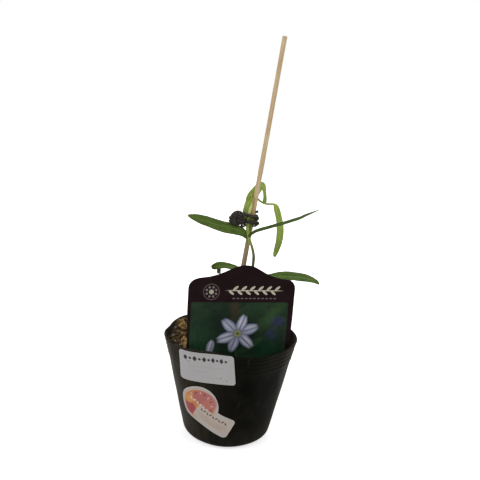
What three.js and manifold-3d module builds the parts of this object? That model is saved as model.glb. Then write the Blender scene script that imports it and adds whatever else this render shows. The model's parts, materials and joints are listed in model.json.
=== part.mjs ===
// A young clematis plant in a soft 9 cm nursery pot: one climbing stem with three
// pairs of leaves, tied to a split cane, with a printed plant label in the compost
// and two paper stickers on the pot.
//
// Millimetres, +Z up, origin at the middle of the pot's flat base. The front of the
// pot, where the stickers are, faces -Y. Azimuths are measured round the pot from
// the front, positive towards +X.

import * as THREE from 'three';
import { mergeVertices } from 'three/addons/utils/BufferGeometryUtils.js';
import Module from 'manifold-3d';

// ---- driving dimensions ----

const gap = 0.3;               // clearance between pieces that touch

const potHeight = 70;
const rimRadius = 45;          // outside, at the rim
const heelHeight = 7;          // the rounded heel ends here
const heelTopRadius = 30;      // outside, where the heel meets the wall
const wallThickness = 0.8;
const baseThickness = 1;
const ribHeights = [57.6, 60.6, 63.6, 66.6];
const ribProud = 0.35;
const drainHoles = 8;
const drainHoleRadius = 3;
const drainCircleRadius = 15;
const potSides = 48;

const compostLevel = 62;       // height of the compost at the pot's middle
const compostGap = 0.4;        // the filling has shrunk a little from the pot's wall
const compostTilt = { x: -0.085, y: 0.075 };
const compostHeap = { x: -33, y: 25, height: 3.6, reach: 11 };

const caneRadius = 1.5;
const caneFoot = new THREE.Vector3(-6.9, 0, 5);
const caneTop = new THREE.Vector3(22.9, 0, 267);

const labelThickness = 0.5;
const labelYaw = THREE.MathUtils.degToRad(11.8);
const labelOrigin = new THREE.Vector3(0, -24, 0);
const stickerThickness = 0.25;

const wireRadius = 0.5;
const leafThickness = 0.5;

// The soft wall is pressed flat behind the stiff name sticker and bulges beside it.
// Each wave has its azimuth and reach in degrees, and its push in mm at the rim.
const wallWaves = [
  { at: -15, reach: 18, push: -4.2 },
  { at: 21, reach: 14, push: 3 },
  { at: -58, reach: 12, push: 1 },
  { at: -140, reach: 20, push: 5 },
];

// ---- materials ----

function material(red, green, blue, roughness) {
  const color = new THREE.Color().setRGB(red, green, blue, THREE.SRGBColorSpace);
  return new THREE.MeshStandardMaterial({ color, roughness, metalness: 0 });
}

const potBlack = () => material(0.09, 0.09, 0.08, 0.5);
const compostBrown = () => material(0.17, 0.13, 0.1, 0.95);
const caneTan = () => material(0.78, 0.69, 0.57, 0.7);
const stemGreen = () => material(0.43, 0.46, 0.3, 0.6);
const leafDark = () => material(0.29, 0.4, 0.18, 0.5);
const leafFresh = () => material(0.5, 0.6, 0.3, 0.5);
const wireBlack = () => material(0.14, 0.12, 0.1, 0.6);
const labelMaroon = () => material(0.13, 0.07, 0.08, 0.4);
const stickerWhite = () => material(0.8, 0.79, 0.78, 0.55);
const stickerCream = () => material(0.78, 0.66, 0.56, 0.55);
const grainOchre = () => material(0.5, 0.39, 0.2, 0.9);
const grainWhite = () => material(0.75, 0.73, 0.7, 0.9);

// ---- helpers ----

const library = await Module();
library.setup();

const root = new THREE.Group();

function addPiece(name, geometry, pieceMaterial) {
  const mesh = new THREE.Mesh(geometry, pieceMaterial);
  mesh.name = name;
  root.add(mesh);
}

function weld(geometry) {
  geometry.deleteAttribute('normal');
  geometry.deleteAttribute('uv');
  return mergeVertices(geometry, 1e-4);
}

function toSolid(geometry) {
  const welded = weld(geometry.clone());
  const vertProperties = new Float32Array(welded.attributes.position.array);
  const triVerts = new Uint32Array(welded.index.array);
  return new library.Manifold(new library.Mesh({ numProp: 3, vertProperties, triVerts }));
}

function toGeometry(solid) {
  const { vertProperties, triVerts } = solid.getMesh();
  const geometry = new THREE.BufferGeometry();
  geometry.setAttribute('position', new THREE.BufferAttribute(vertProperties, 3));
  geometry.setIndex(new THREE.BufferAttribute(triVerts, 1));
  return geometry;
}

// Moves every vertex of a geometry by a function that changes a point in place.
function reshape(geometry, move) {
  const position = geometry.attributes.position;
  const point = new THREE.Vector3();
  for (let i = 0; i < position.count; i++) {
    point.fromBufferAttribute(position, i);
    move(point);
    position.setXYZ(i, point.x, point.y, point.z);
  }
  return weld(geometry);
}

// A lathe round +Z. The profile is a list of [radius, height].
function lathe(profile, sides) {
  const points = profile.map(([radius, height]) => new THREE.Vector2(radius, height));
  return new THREE.LatheGeometry(points, sides).rotateX(Math.PI / 2);
}

function smoothPath(points) {
  return new THREE.CatmullRomCurve3(points.map((p) => new THREE.Vector3(...p)), false, 'centripetal');
}

// A round bar along a path, closed at both ends, with its radius a function of 0..1.
function bar(path, radiusAt, steps, sides) {
  const cylinder = new THREE.CylinderGeometry(1, 1, 1, sides, steps);
  const frames = path.computeFrenetFrames(steps, false);
  return reshape(cylinder, (p) => {
    const along = p.y + 0.5;
    const step = Math.round(along * steps);
    const radius = radiusAt(along);
    const across = p.x * radius;
    const upward = p.z * radius;
    p.copy(path.getPointAt(along));
    p.addScaledVector(frames.normals[step], across);
    p.addScaledVector(frames.binormals[step], -upward);
  });
}

// ---- the pot's wall, which everything on it or in it follows ----

const wallSlope = (rimRadius - heelTopRadius) / (potHeight - heelHeight);
const wallAngle = Math.atan(wallSlope);

function azimuthOf(x, y) {
  return THREE.MathUtils.radToDeg(Math.atan2(x, -y));
}

function wallRadius(height) {
  return rimRadius - (potHeight - height) * wallSlope;
}

function wallPush(azimuth, height) {
  let push = 0;
  for (const wave of wallWaves) {
    push += wave.push * Math.exp(-(((azimuth - wave.at) / wave.reach) ** 2));
  }
  return push * (height / potHeight) ** 2;
}

// Moves a point of a round piece out or in with the soft wall.
function followWall(p) {
  const radius = Math.hypot(p.x, p.y);
  if (radius < 1) return;
  const pushed = radius + wallPush(azimuthOf(p.x, p.y), p.z) * (radius / wallRadius(p.z));
  p.x *= pushed / radius;
  p.y *= pushed / radius;
}

// The rounded heel as seen in section, from the ground up to the wall.
function heelArc(inset, steps) {
  const centreRadius = heelTopRadius - heelHeight / Math.cos(wallAngle);
  const radius = heelHeight - inset;
  const points = [];
  for (let i = 0; i <= steps; i++) {
    const angle = -Math.PI / 2 + (i / steps) * (Math.PI / 2 - wallAngle);
    points.push([centreRadius + radius * Math.cos(angle), heelHeight + radius * Math.sin(angle)]);
  }
  return points;
}

function makePot() {
  const outside = [[0, 0], ...heelArc(0, 6), [wallRadius(32), 32]];
  for (const height of ribHeights) {
    outside.push([wallRadius(height - 1), height - 1]);
    outside.push([wallRadius(height) + ribProud, height]);
    outside.push([wallRadius(height + 1), height + 1]);
  }
  const rim = [
    [wallRadius(potHeight - 1.2), potHeight - 1.2],
    [rimRadius + ribProud, potHeight - 0.5],
    [rimRadius, potHeight],
    [rimRadius - wallThickness, potHeight],
  ];
  const inside = [62, 54, 44, 32].map((height) => [wallRadius(height) - wallThickness, height]);
  inside.push(...heelArc(baseThickness, 5).reverse(), [0, baseThickness]);
  const body = reshape(lathe([...outside, ...rim, ...inside], potSides), followWall);
  let pot = toSolid(body);
  for (let i = 0; i < drainHoles; i++) {
    const angle = ((i + 0.5) / drainHoles) * 2 * Math.PI;
    const hole = new THREE.CylinderGeometry(drainHoleRadius, drainHoleRadius, 4, 12).rotateX(Math.PI / 2);
    hole.translate(drainCircleRadius * Math.cos(angle), drainCircleRadius * Math.sin(angle), 0);
    pot = pot.subtract(toSolid(hole));
  }
  return toGeometry(pot);
}

// ---- compost ----

function compostHeight(x, y) {
  const distance = Math.hypot(x - compostHeap.x, y - compostHeap.y);
  const heap = compostHeap.height * Math.exp(-((distance / compostHeap.reach) ** 2));
  return compostLevel + compostTilt.x * x + compostTilt.y * y + heap;
}

// The filling is made to a flat top first. Its top is then raised to the real surface,
// with its edge kept on the pot's wall.
function makeCompost(sockets) {
  const inset = wallThickness + compostGap;
  const flatTop = 60;
  const profile = [[0, baseThickness + gap], ...heelArc(baseThickness + gap, 4)];
  for (const height of [20, 32, 44, 52]) profile.push([wallRadius(height) - inset, height]);
  for (const part of [1, 0.8, 0.6, 0.4, 0.2, 0]) profile.push([part * wallRadius(flatTop), flatTop]);
  const filling = reshape(lathe(profile, potSides), (p) => {
    if (p.z < flatTop - 0.01) {
      followWall(p);
      return;
    }
    const part = Math.hypot(p.x, p.y) / wallRadius(flatTop);
    const azimuth = azimuthOf(p.x, p.y);
    const edgeHeight = part > 0 ? compostHeight(p.x / part, p.y / part) : compostLevel;
    const edge = wallRadius(edgeHeight) - inset + wallPush(azimuth, edgeHeight);
    p.x *= edge / wallRadius(flatTop);
    p.y *= edge / wallRadius(flatTop);
    p.z = compostHeight(p.x, p.y);
  });
  let compost = toSolid(filling);
  for (const socket of sockets) compost = compost.subtract(toSolid(socket));
  return toGeometry(compost);
}

// ---- cane and stem ----

const canePath = new THREE.LineCurve3(caneFoot, caneTop);

function makeCane(grow) {
  return bar(canePath, () => caneRadius + grow, 6, 10);
}

const stemPath = smoothPath([
  [5.5, -3, 48],
  [5.8, -3, 61],
  [7.6, -3.3, 76],
  [10.8, -3.8, 93],
  [12.3, -4, 109],
  [12.3, -4, 119.5],
  [12.2, -4, 126],
  [10.4, -3.9, 132.3],
  [8.3, -3.6, 136.8],
  [7.1, -3.1, 141],
  [6.7, -2.6, 147],
  [6.6, -2.4, 153],
  [7.6, -2.4, 158.7],
  [9, -2.4, 164],
  [9.9, -2.2, 168],
]);

// The stem thickens a little between its middle node and the tie.
function stemRadius(along) {
  const swelling = 0.25 * Math.exp(-(((along - 0.8) / 0.08) ** 2));
  return THREE.MathUtils.lerp(1.1, 0.5, along) + swelling;
}

function makeStem(grow) {
  return bar(stemPath, (along) => stemRadius(along) + grow, 44, 8);
}

// ---- leaves ----

// Each leaf has the points of its midrib from its foot to its tip, its greatest half
// width, where the blade starts, how far out it is widest (belly), and the way its
// upper side faces at the foot and at the tip, with the place where it turns over.
const leaves = {
  leaf_lower_left: {
    rib: [[10.9, -4.6, 110.9], [6.4, -4, 114.2], [1.2, -3.2, 117], [-4.5, -1.8, 118], [-9.7, -0.4, 117.8],
      [-13.6, 0.6, 116.9], [-15.2, 1.2, 115.2], [-13.8, 1.7, 114], [-11.9, 2.1, 113.4], [-10.6, 2.4, 111]],
    halfWidth: 3.2, bladeFrom: 0.2, belly: 0.85, faces: [[0, -0.5, 0.85], [-0.3, -0.6, -0.7]], turnAt: 0.68,
    skin: leafDark,
  },
  leaf_lower_right: {
    rib: [[13.9, -3.6, 109.9], [18, -2, 111.4], [23.9, 0, 112.2], [32.5, 3, 111.9], [41.7, 6, 110.9],
      [50.4, 9, 108.9], [56.3, 11, 106.9], [59.6, 12, 105.3]],
    halfWidth: 4.7, bladeFrom: 0.12, belly: 1.2, faces: [[0, -0.57, 0.82], [0.1, -0.5, 0.86]], turnAt: 0.5,
    skin: leafDark,
  },
  leaf_middle_left: {
    rib: [[6.5, -4.3, 137.6], [2.2, -5.2, 140.2], [-4.5, -7, 142.9], [-11.5, -9, 145.2], [-20.6, -11, 147.8],
      [-27.4, -12, 149.6], [-32.2, -13, 151.3]],
    halfWidth: 5, bladeFrom: 0.03, belly: 0.7, faces: [[0.1, -0.75, 0.65], [0.2, -0.7, 0.7]], turnAt: 0.5,
    skin: leafDark,
  },
  leaf_middle_right: {
    rib: [[9.2, -4.5, 137.8], [10.3, -5.1, 141.1], [12.9, -6.3, 143.5], [17.8, -8, 145.5], [22.9, -9, 147.3],
      [29.8, -10, 149.8], [34.8, -11, 151.9], [39.8, -12, 154.1], [44.8, -12, 156.9], [51.8, -12, 159.8]],
    halfWidth: 4.4, bladeFrom: 0.14, belly: 0.85, faces: [[-0.2, 0.137, 0.99], [-0.3, 0.137, 0.95]],
    turnAt: 0.5, skin: leafDark,
  },
  leaf_upper_left: {
    rib: [[5.9, -1, 149], [5.6, -0.7, 152.5], [5.2, -0.2, 155.4], [5.6, 1.7, 158.8], [6.7, 4.4, 162.5],
      [8.3, 6, 166.5], [10.9, 6.8, 170], [14, 6.8, 172.4], [16.2, 6.8, 171.4], [17, 6.8, 168.1],
      [17.5, 6.8, 164.5], [17.7, 6.8, 161.8]],
    halfWidth: 3.5, bladeFrom: 0.1, belly: 0.9, faces: [[-0.3, -0.95, 0.2], [0.95, -0.3, 0.2]], turnAt: 0.64,
    skin: leafFresh,
  },
  leaf_upper_right: {
    rib: [[8, -1.1, 165.4], [8.2, 1.1, 165.8], [9.6, 2.4, 165.3], [12.2, 2.9, 162.9], [17.6, 3.9, 160.6],
      [22.3, 4, 160.1], [25, 4, 159], [26.9, 3.6, 154.2], [28.4, 3.2, 148.3], [28.9, 3, 141.5],
      [28.4, 3, 134.8], [27.2, 3, 129.2], [26, 3, 125.2]],
    halfWidth: 2.2, bladeFrom: 0.36, belly: 0.85, faces: [[0, 0.1, 1], [-0.3, -0.95, 0.1]], turnAt: 0.4,
    skin: leafFresh,
  },
};

const leafSteps = 16;
const stalkHalfWidth = 0.45;
const leafFold = 0.12;         // how far the blade's edges lift, per mm of half width

// Half the blade's width: a thin stalk, then a lance-shaped blade that ends in a point.
function leafHalfWidth(leaf, along) {
  const blade = THREE.MathUtils.clamp((along - leaf.bladeFrom) / (1 - leaf.bladeFrom), 0, 1);
  const lance = Math.sin(Math.PI * blade ** leaf.belly) ** 0.75;
  const stalk = stalkHalfWidth * (1 - blade) + 0.12;
  return Math.max(stalk, leaf.halfWidth * lance);
}

function makeLeaf(leaf) {
  const path = smoothPath(leaf.rib);
  const footFaces = new THREE.Vector3(...leaf.faces[0]);
  const tipFaces = new THREE.Vector3(...leaf.faces[1]);
  const side = new THREE.Vector3();
  const face = new THREE.Vector3();
  const slab = new THREE.BoxGeometry(1, 1, 1, leafSteps, 4, 1);
  return reshape(slab, (p) => {
    const along = p.x + 0.5;
    const across = p.y * 2;
    const layer = p.z;
    const turn = THREE.MathUtils.smoothstep(along, leaf.turnAt - 0.2, leaf.turnAt + 0.2);
    const tangent = path.getTangentAt(along);
    face.copy(footFaces).lerp(tipFaces, turn);
    side.crossVectors(face, tangent).normalize();
    face.crossVectors(tangent, side).normalize();
    const halfWidth = leafHalfWidth(leaf, along);
    const fold = leafFold * halfWidth * Math.abs(across);
    p.copy(path.getPointAt(along));
    p.addScaledVector(side, across * halfWidth);
    p.addScaledVector(face, fold + layer * leafThickness);
  });
}

// ---- tie wire: loops round cane and stem, then the spare length wound into a coil ----

const collar = { x: 8.5, y: -1.1, across: 5, deep: 3.6, top: 153.4, pitch: 2.6, turns: 2.5 };
const coil = { x: -0.8, y: -5.8, z: 150.6, outer: 4.9, inner: 1.2, turns: 3, enterAngle: -50 };

const collarSteps = 30;
const coilSteps = 34;
const wireSteps = 150;

function tieWirePoints() {
  const points = [[14.6, -3.9, 155.9], [13.9, -2.6, 154.6]];
  for (let i = 1; i <= collarSteps; i++) {
    const turned = (i / collarSteps) * collar.turns;
    const angle = turned * 2 * Math.PI;
    const slack = 1 + 0.02 * turned;
    points.push([
      collar.x + collar.across * slack * Math.cos(angle),
      collar.y + collar.deep * Math.sin(angle),
      collar.top - collar.pitch * turned,
    ]);
  }
  points.push([3, -4, 146.4]);
  for (let i = 0; i <= coilSteps; i++) {
    const part = i / coilSteps;
    const angle = THREE.MathUtils.degToRad(coil.enterAngle - part * coil.turns * 360);
    const radius = THREE.MathUtils.lerp(coil.outer, coil.inner, part);
    points.push([coil.x + radius * Math.cos(angle), coil.y, coil.z + radius * Math.sin(angle)]);
  }
  return points;
}

function makeTieWire() {
  const section = new THREE.Shape();
  section.absarc(0, 0, wireRadius, 0, 2 * Math.PI);
  return weld(new THREE.ExtrudeGeometry(section, {
    steps: wireSteps,
    curveSegments: 3,
    bevelEnabled: false,
    extrudePath: smoothPath(tieWirePoints()),
  }));
}

// ---- plant label ----

// The label in its own plane, seen from the front: places along it from its origin,
// and heights above the ground. Its head has a hump on top, and a stake below.
const label = {
  left: -29.1, right: 40.5, headFoot: 61, shoulder: 108, humpAt: 7.8, humpTop: 122.7,
  stakeAt: 6, stakeHalfWidth: 8, stakeNeck: 52, stakeTaper: 18, stakeTip: 9,
};

// The outline grows by one value, for the label's socket in the compost.
function labelOutline(grow) {
  const left = label.left - grow;
  const right = label.right + grow;
  const foot = label.headFoot - grow;
  const stakeLeft = label.stakeAt - label.stakeHalfWidth - grow;
  const stakeRight = label.stakeAt + label.stakeHalfWidth + grow;
  const { shoulder, humpAt, humpTop, stakeNeck, stakeTaper } = label;
  const shape = new THREE.Shape();
  shape.moveTo(left, shoulder);
  shape.lineTo(left, foot + 31);
  shape.lineTo(left + 0.9, foot + 5);
  shape.quadraticCurveTo(left + 1.2, foot, left + 6, foot);
  shape.quadraticCurveTo(stakeLeft - 1, foot - 0.6, stakeLeft, stakeNeck);
  shape.lineTo(stakeLeft + 2, stakeTaper);
  shape.lineTo(label.stakeAt, label.stakeTip - grow);
  shape.lineTo(stakeRight - 2, stakeTaper);
  shape.lineTo(stakeRight, stakeNeck);
  shape.quadraticCurveTo(stakeRight + 1, foot - 0.6, right - 8, foot);
  shape.quadraticCurveTo(right - 2.2, foot, right - 1.6, foot + 6);
  shape.lineTo(right - 0.6, foot + 27);
  shape.lineTo(right, shoulder);
  shape.quadraticCurveTo(right - 0.3, shoulder + 5.2, right - 5.6, shoulder + 6);
  shape.bezierCurveTo(right - 22, shoulder + 7.8, humpAt + 9.2, humpTop, humpAt, humpTop);
  shape.bezierCurveTo(humpAt - 8.8, humpTop, -6, shoulder + 8, left + 10, shoulder + 7);
  shape.bezierCurveTo(left + 4, shoulder + 6.4, left, shoulder + 5, left, shoulder);
  return shape;
}

function makeLabel(grow) {
  const depth = labelThickness + 2 * grow;
  const outline = labelOutline(grow);
  const plate = new THREE.ExtrudeGeometry(outline, { depth, bevelEnabled: false, curveSegments: 8 });
  plate.translate(0, 0, -depth / 2);
  plate.rotateX(Math.PI / 2);
  plate.rotateZ(labelYaw);
  plate.translate(labelOrigin.x, labelOrigin.y, labelOrigin.z);
  return weld(plate);
}

// ---- stickers ----

const stickerStandOff = ribProud + gap;
const stickerSides = 48;

// Wraps a flat outline round the pot's wall, from the outline's own zero point at the
// place given. The wall is a cone, so it is rolled out flat about its apex.
function makeSticker(outline, middle, { azimuth, height, tilt }) {
  const rings = [0, 0.35, 0.7, 1];
  const profile = [...rings.map((part) => [part, 0]), ...rings.slice().reverse().map((part) => [part, 1])];
  const edge = outline.getSpacedPoints(stickerSides);
  const slant = wallRadius(height) / Math.sin(wallAngle);
  const turn = THREE.MathUtils.degToRad(tilt);
  return reshape(lathe(profile, stickerSides), (p) => {
    const part = Math.hypot(p.x, p.y);
    const angle = (Math.atan2(p.y, p.x) / (2 * Math.PI) + 1) % 1;
    const corner = edge[Math.round(angle * stickerSides) % stickerSides];
    const u = middle.x + (corner.x - middle.x) * part;
    const v = middle.y + (corner.y - middle.y) * part;
    const right = u * Math.cos(turn) - v * Math.sin(turn);
    const up = u * Math.sin(turn) + v * Math.cos(turn);
    const fromApex = Math.hypot(right, slant + up);
    const turned = Math.atan2(right, slant + up) / Math.sin(wallAngle);
    const pointHeight = height + (fromApex - slant) * Math.cos(wallAngle);
    const pointAzimuth = azimuth + THREE.MathUtils.radToDeg(turned);
    const radius = wallRadius(pointHeight) + wallPush(pointAzimuth, pointHeight)
      + stickerStandOff + p.z * stickerThickness;
    const around = THREE.MathUtils.degToRad(pointAzimuth);
    p.set(radius * Math.sin(around), -radius * Math.cos(around), pointHeight);
  });
}

function roundedRectangle({ width, height, cornerRadius: radius }) {
  const x = width / 2;
  const y = height / 2;
  const shape = new THREE.Shape();
  shape.moveTo(x, 0);
  shape.lineTo(x, y - radius);
  shape.absarc(x - radius, y - radius, radius, 0, Math.PI / 2);
  shape.absarc(radius - x, y - radius, radius, Math.PI / 2, Math.PI);
  shape.absarc(radius - x, radius - y, radius, Math.PI, 1.5 * Math.PI);
  shape.absarc(x - radius, radius - y, radius, 1.5 * Math.PI, 2 * Math.PI);
  shape.closePath();
  return shape;
}

const nameSticker = { width: 38.1, height: 21.2, cornerRadius: 2 };
const nameStickerPlace = { azimuth: -20.5, height: 57.8, tilt: 4.5 };
const tabSticker = { radius: 14, tabEnd: 27.6, tabTop: 2, cornerRadius: 3 };
const tabStickerMiddle = new THREE.Vector2(3, -5);
const tabStickerPlace = { azimuth: -30.7, height: 32.2, tilt: -34 };

// A disc with a tab that leaves its lower edge straight on.
function discWithTab({ radius, tabEnd, tabTop, cornerRadius }) {
  const shape = new THREE.Shape();
  shape.moveTo(radius, tabTop);
  shape.absarc(0, 0, radius, Math.asin(tabTop / radius), 1.5 * Math.PI);
  shape.lineTo(tabEnd - cornerRadius, -radius);
  shape.absarc(tabEnd - cornerRadius, cornerRadius - radius, cornerRadius, 1.5 * Math.PI, 2 * Math.PI);
  shape.absarc(tabEnd - cornerRadius, tabTop - cornerRadius, cornerRadius, 0, Math.PI / 2);
  shape.closePath();
  return shape;
}

// ---- loose grains on the compost ----

// Each grain has its place on the compost and its size.
const ochreGrains = [
  [-33, 14.5, 3], [-35.6, 20, 2.3], [-31.6, 5, 2.4], [-32.2, -4.4, 2.6], [-30, -12.6, 2.4],
  [13, 24, 2.6], [30, 9, 2.4], [-8, 33, 2.2],
];
const perliteGrains = [
  [-39.4, 1.5, 1.1], [-37.2, -7.5, 1], [-39.8, 13.2, 1.2], [-36.5, 8.4, 1], [-33.3, -12.4, 0.9],
  [20, 32, 1.4], [4, 14, 1.3], [34, -6, 1.3],
];

// A rough lump: a sphere of facets, its corners pushed in and out in a fixed way.
function grain([x, y, size], index, grow) {
  const lump = new THREE.IcosahedronGeometry(1, 1);
  return reshape(lump, (p) => {
    const rough = 1 + 0.16 * Math.sin(5 * p.x + 3 * index) * Math.cos(4 * p.y - 2 * index + 3 * p.z);
    p.multiplyScalar(rough * size + grow);
    p.z *= 0.75;
    p.x += x;
    p.y += y;
    p.z += compostHeight(x, y) + 0.25 * size;
  });
}

// ---- assembly ----

const sockets = [makeCane(gap), makeStem(gap), makeLabel(gap)];
ochreGrains.forEach((place, index) => sockets.push(grain(place, index, gap)));
perliteGrains.forEach((place, index) => sockets.push(grain(place, index, gap)));

addPiece('pot', makePot(), potBlack());
addPiece('compost', makeCompost(sockets), compostBrown());
addPiece('cane', makeCane(0), caneTan());
addPiece('stem', makeStem(0), stemGreen());
for (const [name, leaf] of Object.entries(leaves)) addPiece(name, makeLeaf(leaf), leaf.skin());
addPiece('tie_wire', makeTieWire(), wireBlack());
addPiece('plant_label', makeLabel(0), labelMaroon());

addPiece(
  'name_sticker',
  makeSticker(roundedRectangle(nameSticker), new THREE.Vector2(), nameStickerPlace),
  stickerWhite(),
);
addPiece(
  'tab_sticker',
  makeSticker(discWithTab(tabSticker), tabStickerMiddle, tabStickerPlace),
  stickerCream(),
);

ochreGrains.forEach((place, index) => {
  addPiece(`ochre_grain_${index + 1}`, grain(place, index, 0), grainOchre());
});
perliteGrains.forEach((place, index) => {
  addPiece(`perlite_${index + 1}`, grain(place, index, 0), grainWhite());
});

export default root;
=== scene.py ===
import json
import random
from math import acos, asin, atan, atan2, copysign, cos, degrees, exp, hypot, pi, radians, sin, sqrt

import bpy
from mathutils import Matrix, Vector, noise

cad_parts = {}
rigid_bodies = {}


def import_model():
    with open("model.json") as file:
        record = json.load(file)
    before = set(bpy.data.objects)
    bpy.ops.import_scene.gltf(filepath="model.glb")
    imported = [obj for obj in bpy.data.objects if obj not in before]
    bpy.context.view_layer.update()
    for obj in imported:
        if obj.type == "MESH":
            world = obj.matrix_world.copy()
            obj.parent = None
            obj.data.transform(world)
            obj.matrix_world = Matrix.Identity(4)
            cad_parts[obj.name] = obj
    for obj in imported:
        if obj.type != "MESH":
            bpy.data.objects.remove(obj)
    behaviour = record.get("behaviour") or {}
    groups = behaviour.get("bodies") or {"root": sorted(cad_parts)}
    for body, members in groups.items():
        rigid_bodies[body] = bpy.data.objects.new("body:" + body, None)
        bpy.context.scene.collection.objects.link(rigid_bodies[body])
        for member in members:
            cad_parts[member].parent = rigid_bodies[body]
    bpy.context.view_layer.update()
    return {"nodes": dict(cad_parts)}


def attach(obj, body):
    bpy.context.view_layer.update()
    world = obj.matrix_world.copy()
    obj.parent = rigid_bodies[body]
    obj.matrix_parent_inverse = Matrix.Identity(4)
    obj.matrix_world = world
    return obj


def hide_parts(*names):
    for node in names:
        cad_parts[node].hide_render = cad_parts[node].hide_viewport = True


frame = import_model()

# A young clematis in a soft nursery pot. Sizes are in millimetres, turned into metres by mm;
# places inside materials and in the studio are in metres, and on flat prints in millimetres.
# The front of the pot faces -Y, and azimuths go round it from there.

mm = 0.001
random.seed(4)
scene = bpy.context.scene
print("frame loaded,", len(frame["nodes"]), "nodes")


def holdOnly(piece):
    for other in bpy.context.view_layer.objects:
        other.select_set(False)
    piece.select_set(True)
    bpy.context.view_layer.objects.active = piece


def applyPlace(piece):
    holdOnly(piece)
    bpy.ops.object.transform_apply(location=True, rotation=True, scale=True)


def applyModifiers(piece):
    holdOnly(piece)
    for modifier in list(piece.modifiers):
        bpy.ops.object.modifier_apply(modifier=modifier.name)


def toMesh(piece):
    holdOnly(piece)
    bpy.ops.object.convert(target="MESH")
    return bpy.context.object


def editAll():
    bpy.ops.object.mode_set(mode="EDIT")
    bpy.ops.mesh.select_all(action="SELECT")


def cleanMesh(piece):
    # merges doubles and turns every face outwards
    holdOnly(piece)
    editAll()
    bpy.ops.mesh.remove_doubles(threshold=0.002 * mm)
    bpy.ops.mesh.normals_make_consistent(inside=False)
    bpy.ops.object.mode_set(mode="OBJECT")


def smoothShade(piece, angle):
    holdOnly(piece)
    bpy.ops.object.shade_smooth_by_angle(angle=radians(angle))


def roundEdges(piece, width):
    edge = piece.modifiers.new("edge", "BEVEL")
    edge.width = width * mm
    edge.segments = 2
    edge.limit_method = "ANGLE"
    edge.angle_limit = radians(60)
    applyModifiers(piece)


def joinAll(pieces):
    holdOnly(pieces[0])
    for piece in pieces[1:]:
        piece.select_set(True)
    bpy.ops.object.join()
    return bpy.context.object


def finishPiece(piece, finishes, name, slotName, *nodes):
    for finish in finishes:
        piece.data.materials.append(finish)
    piece.name = name
    piece.data.name = name
    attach(piece, "root")
    if nodes:
        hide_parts(*nodes)


def moveVertices(piece, move):
    # move takes a point in millimetres and gives the new one
    for vertex in piece.data.vertices:
        vertex.co = move(vertex.co / mm) * mm
    piece.data.update()


def bell(value, middle, reach):
    return exp(-(((value - middle) / reach) ** 2))


def blend(low, high, part):
    return low + (high - low) * part


def smoothStep(value, low, high):
    part = min(max((value - low) / (high - low), 0), 1)
    return part * part * (3 - 2 * part)


def smoothPath(points, steps):
    # a smooth line through the points, cut into even steps
    points = [Vector(point) for point in points]
    points = [2 * points[0] - points[1], *points, 2 * points[-1] - points[-2]]
    line, cuts = [], 24  # fine cuts between two points
    for a, b, c, d in zip(points, points[1:], points[2:], points[3:]):
        before, here, after = [sqrt((q - p).length) for p, q in ((a, b), (b, c), (c, d))]
        leave = ((b - a) / before - (c - a) / (before + here) + (c - b) / here) * here
        arrive = ((c - b) / here - (d - b) / (here + after) + (d - c) / after) * here
        for i in range(cuts):
            t = i / cuts
            curve = (2 * b - 2 * c + leave + arrive) * t + (3 * c - 3 * b - 2 * leave - arrive)
            line.append((curve * t + leave) * t + b)
    line.append(points[-2])
    reached = [0]
    for p, q in zip(line, line[1:]):
        reached.append(reached[-1] + (q - p).length)
    even, k = [], 0
    for i in range(steps + 1):
        goal = reached[-1] * i / steps
        while k < len(line) - 2 and reached[k + 1] < goal:
            k += 1
        even.append(line[k].lerp(line[k + 1], (goal - reached[k]) / (reached[k + 1] - reached[k])))
    return even


def curvePiece(name, dimensions, points):
    # a curve through points given in metres
    curve = bpy.data.curves.new(name, "CURVE")
    curve.dimensions = dimensions
    spline = curve.splines.new("POLY")
    spline.points.add(len(points) - 1)
    for i, point in enumerate(points):
        spline.points[i].co = (*point, 1)
    piece = bpy.data.objects.new(name, curve)
    scene.collection.objects.link(piece)
    return piece, curve, spline


def tubeAlong(name, path, radiusAt, sides):
    # a round bar along a path in millimetres, with its radius a function of 0 to 1
    piece, curve, spline = curvePiece(name, "3D", [point * mm for point in path])
    for i, point in enumerate(spline.points):
        point.radius = radiusAt(i / (len(path) - 1))
    curve.bevel_depth = mm
    curve.bevel_resolution = (sides - 4) // 2
    curve.use_fill_caps = True
    piece = toMesh(piece)
    cleanMesh(piece)
    return piece


def newMaterial(name):
    material = bpy.data.materials.new(name)
    material.use_nodes = True
    tree = material.node_tree
    tree.nodes.clear()
    shader = tree.nodes.new("ShaderNodeBsdfPrincipled")
    output = tree.nodes.new("ShaderNodeOutputMaterial")
    tree.links.new(shader.outputs[0], output.inputs[0])
    return material, tree, shader


def feed(tree, socket, value):
    # a socket takes another node's output or a plain value
    if isinstance(value, bpy.types.NodeSocket):
        tree.links.new(value, socket)
    else:
        socket.default_value = value


def addNode(tree, kind, settings=None, **inputs):
    # settings are the node's own options; inputs are its sockets, named in camelCase
    node = tree.nodes.new(kind)
    for key, value in (settings or {}).items():
        setattr(node, key, value)
    for key, value in inputs.items():
        fitting = [s for s in node.inputs if s.enabled and s.name.lower().replace(" ", "") == key.lower()]
        feed(tree, fitting[0], value)
    return node


def mathNode(tree, operation, a, b=0.0, clamp=False):
    node = addNode(tree, "ShaderNodeMath", {"operation": operation, "use_clamp": clamp})
    for socket, value in zip(node.inputs, (a, b)):
        feed(tree, socket, value)
    return node.outputs[0]


def vectorNode(tree, operation, a, b=(0, 0, 0)):
    node = addNode(tree, "ShaderNodeVectorMath", {"operation": operation})
    for socket, value in zip(node.inputs, (a, b)):
        feed(tree, socket, value)
    return node


def noiseNode(tree, place, scale, detail, roughness=0.5):
    return addNode(tree, "ShaderNodeTexNoise", vector=place, scale=scale, detail=detail,
                   roughness=roughness).outputs[0]


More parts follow.
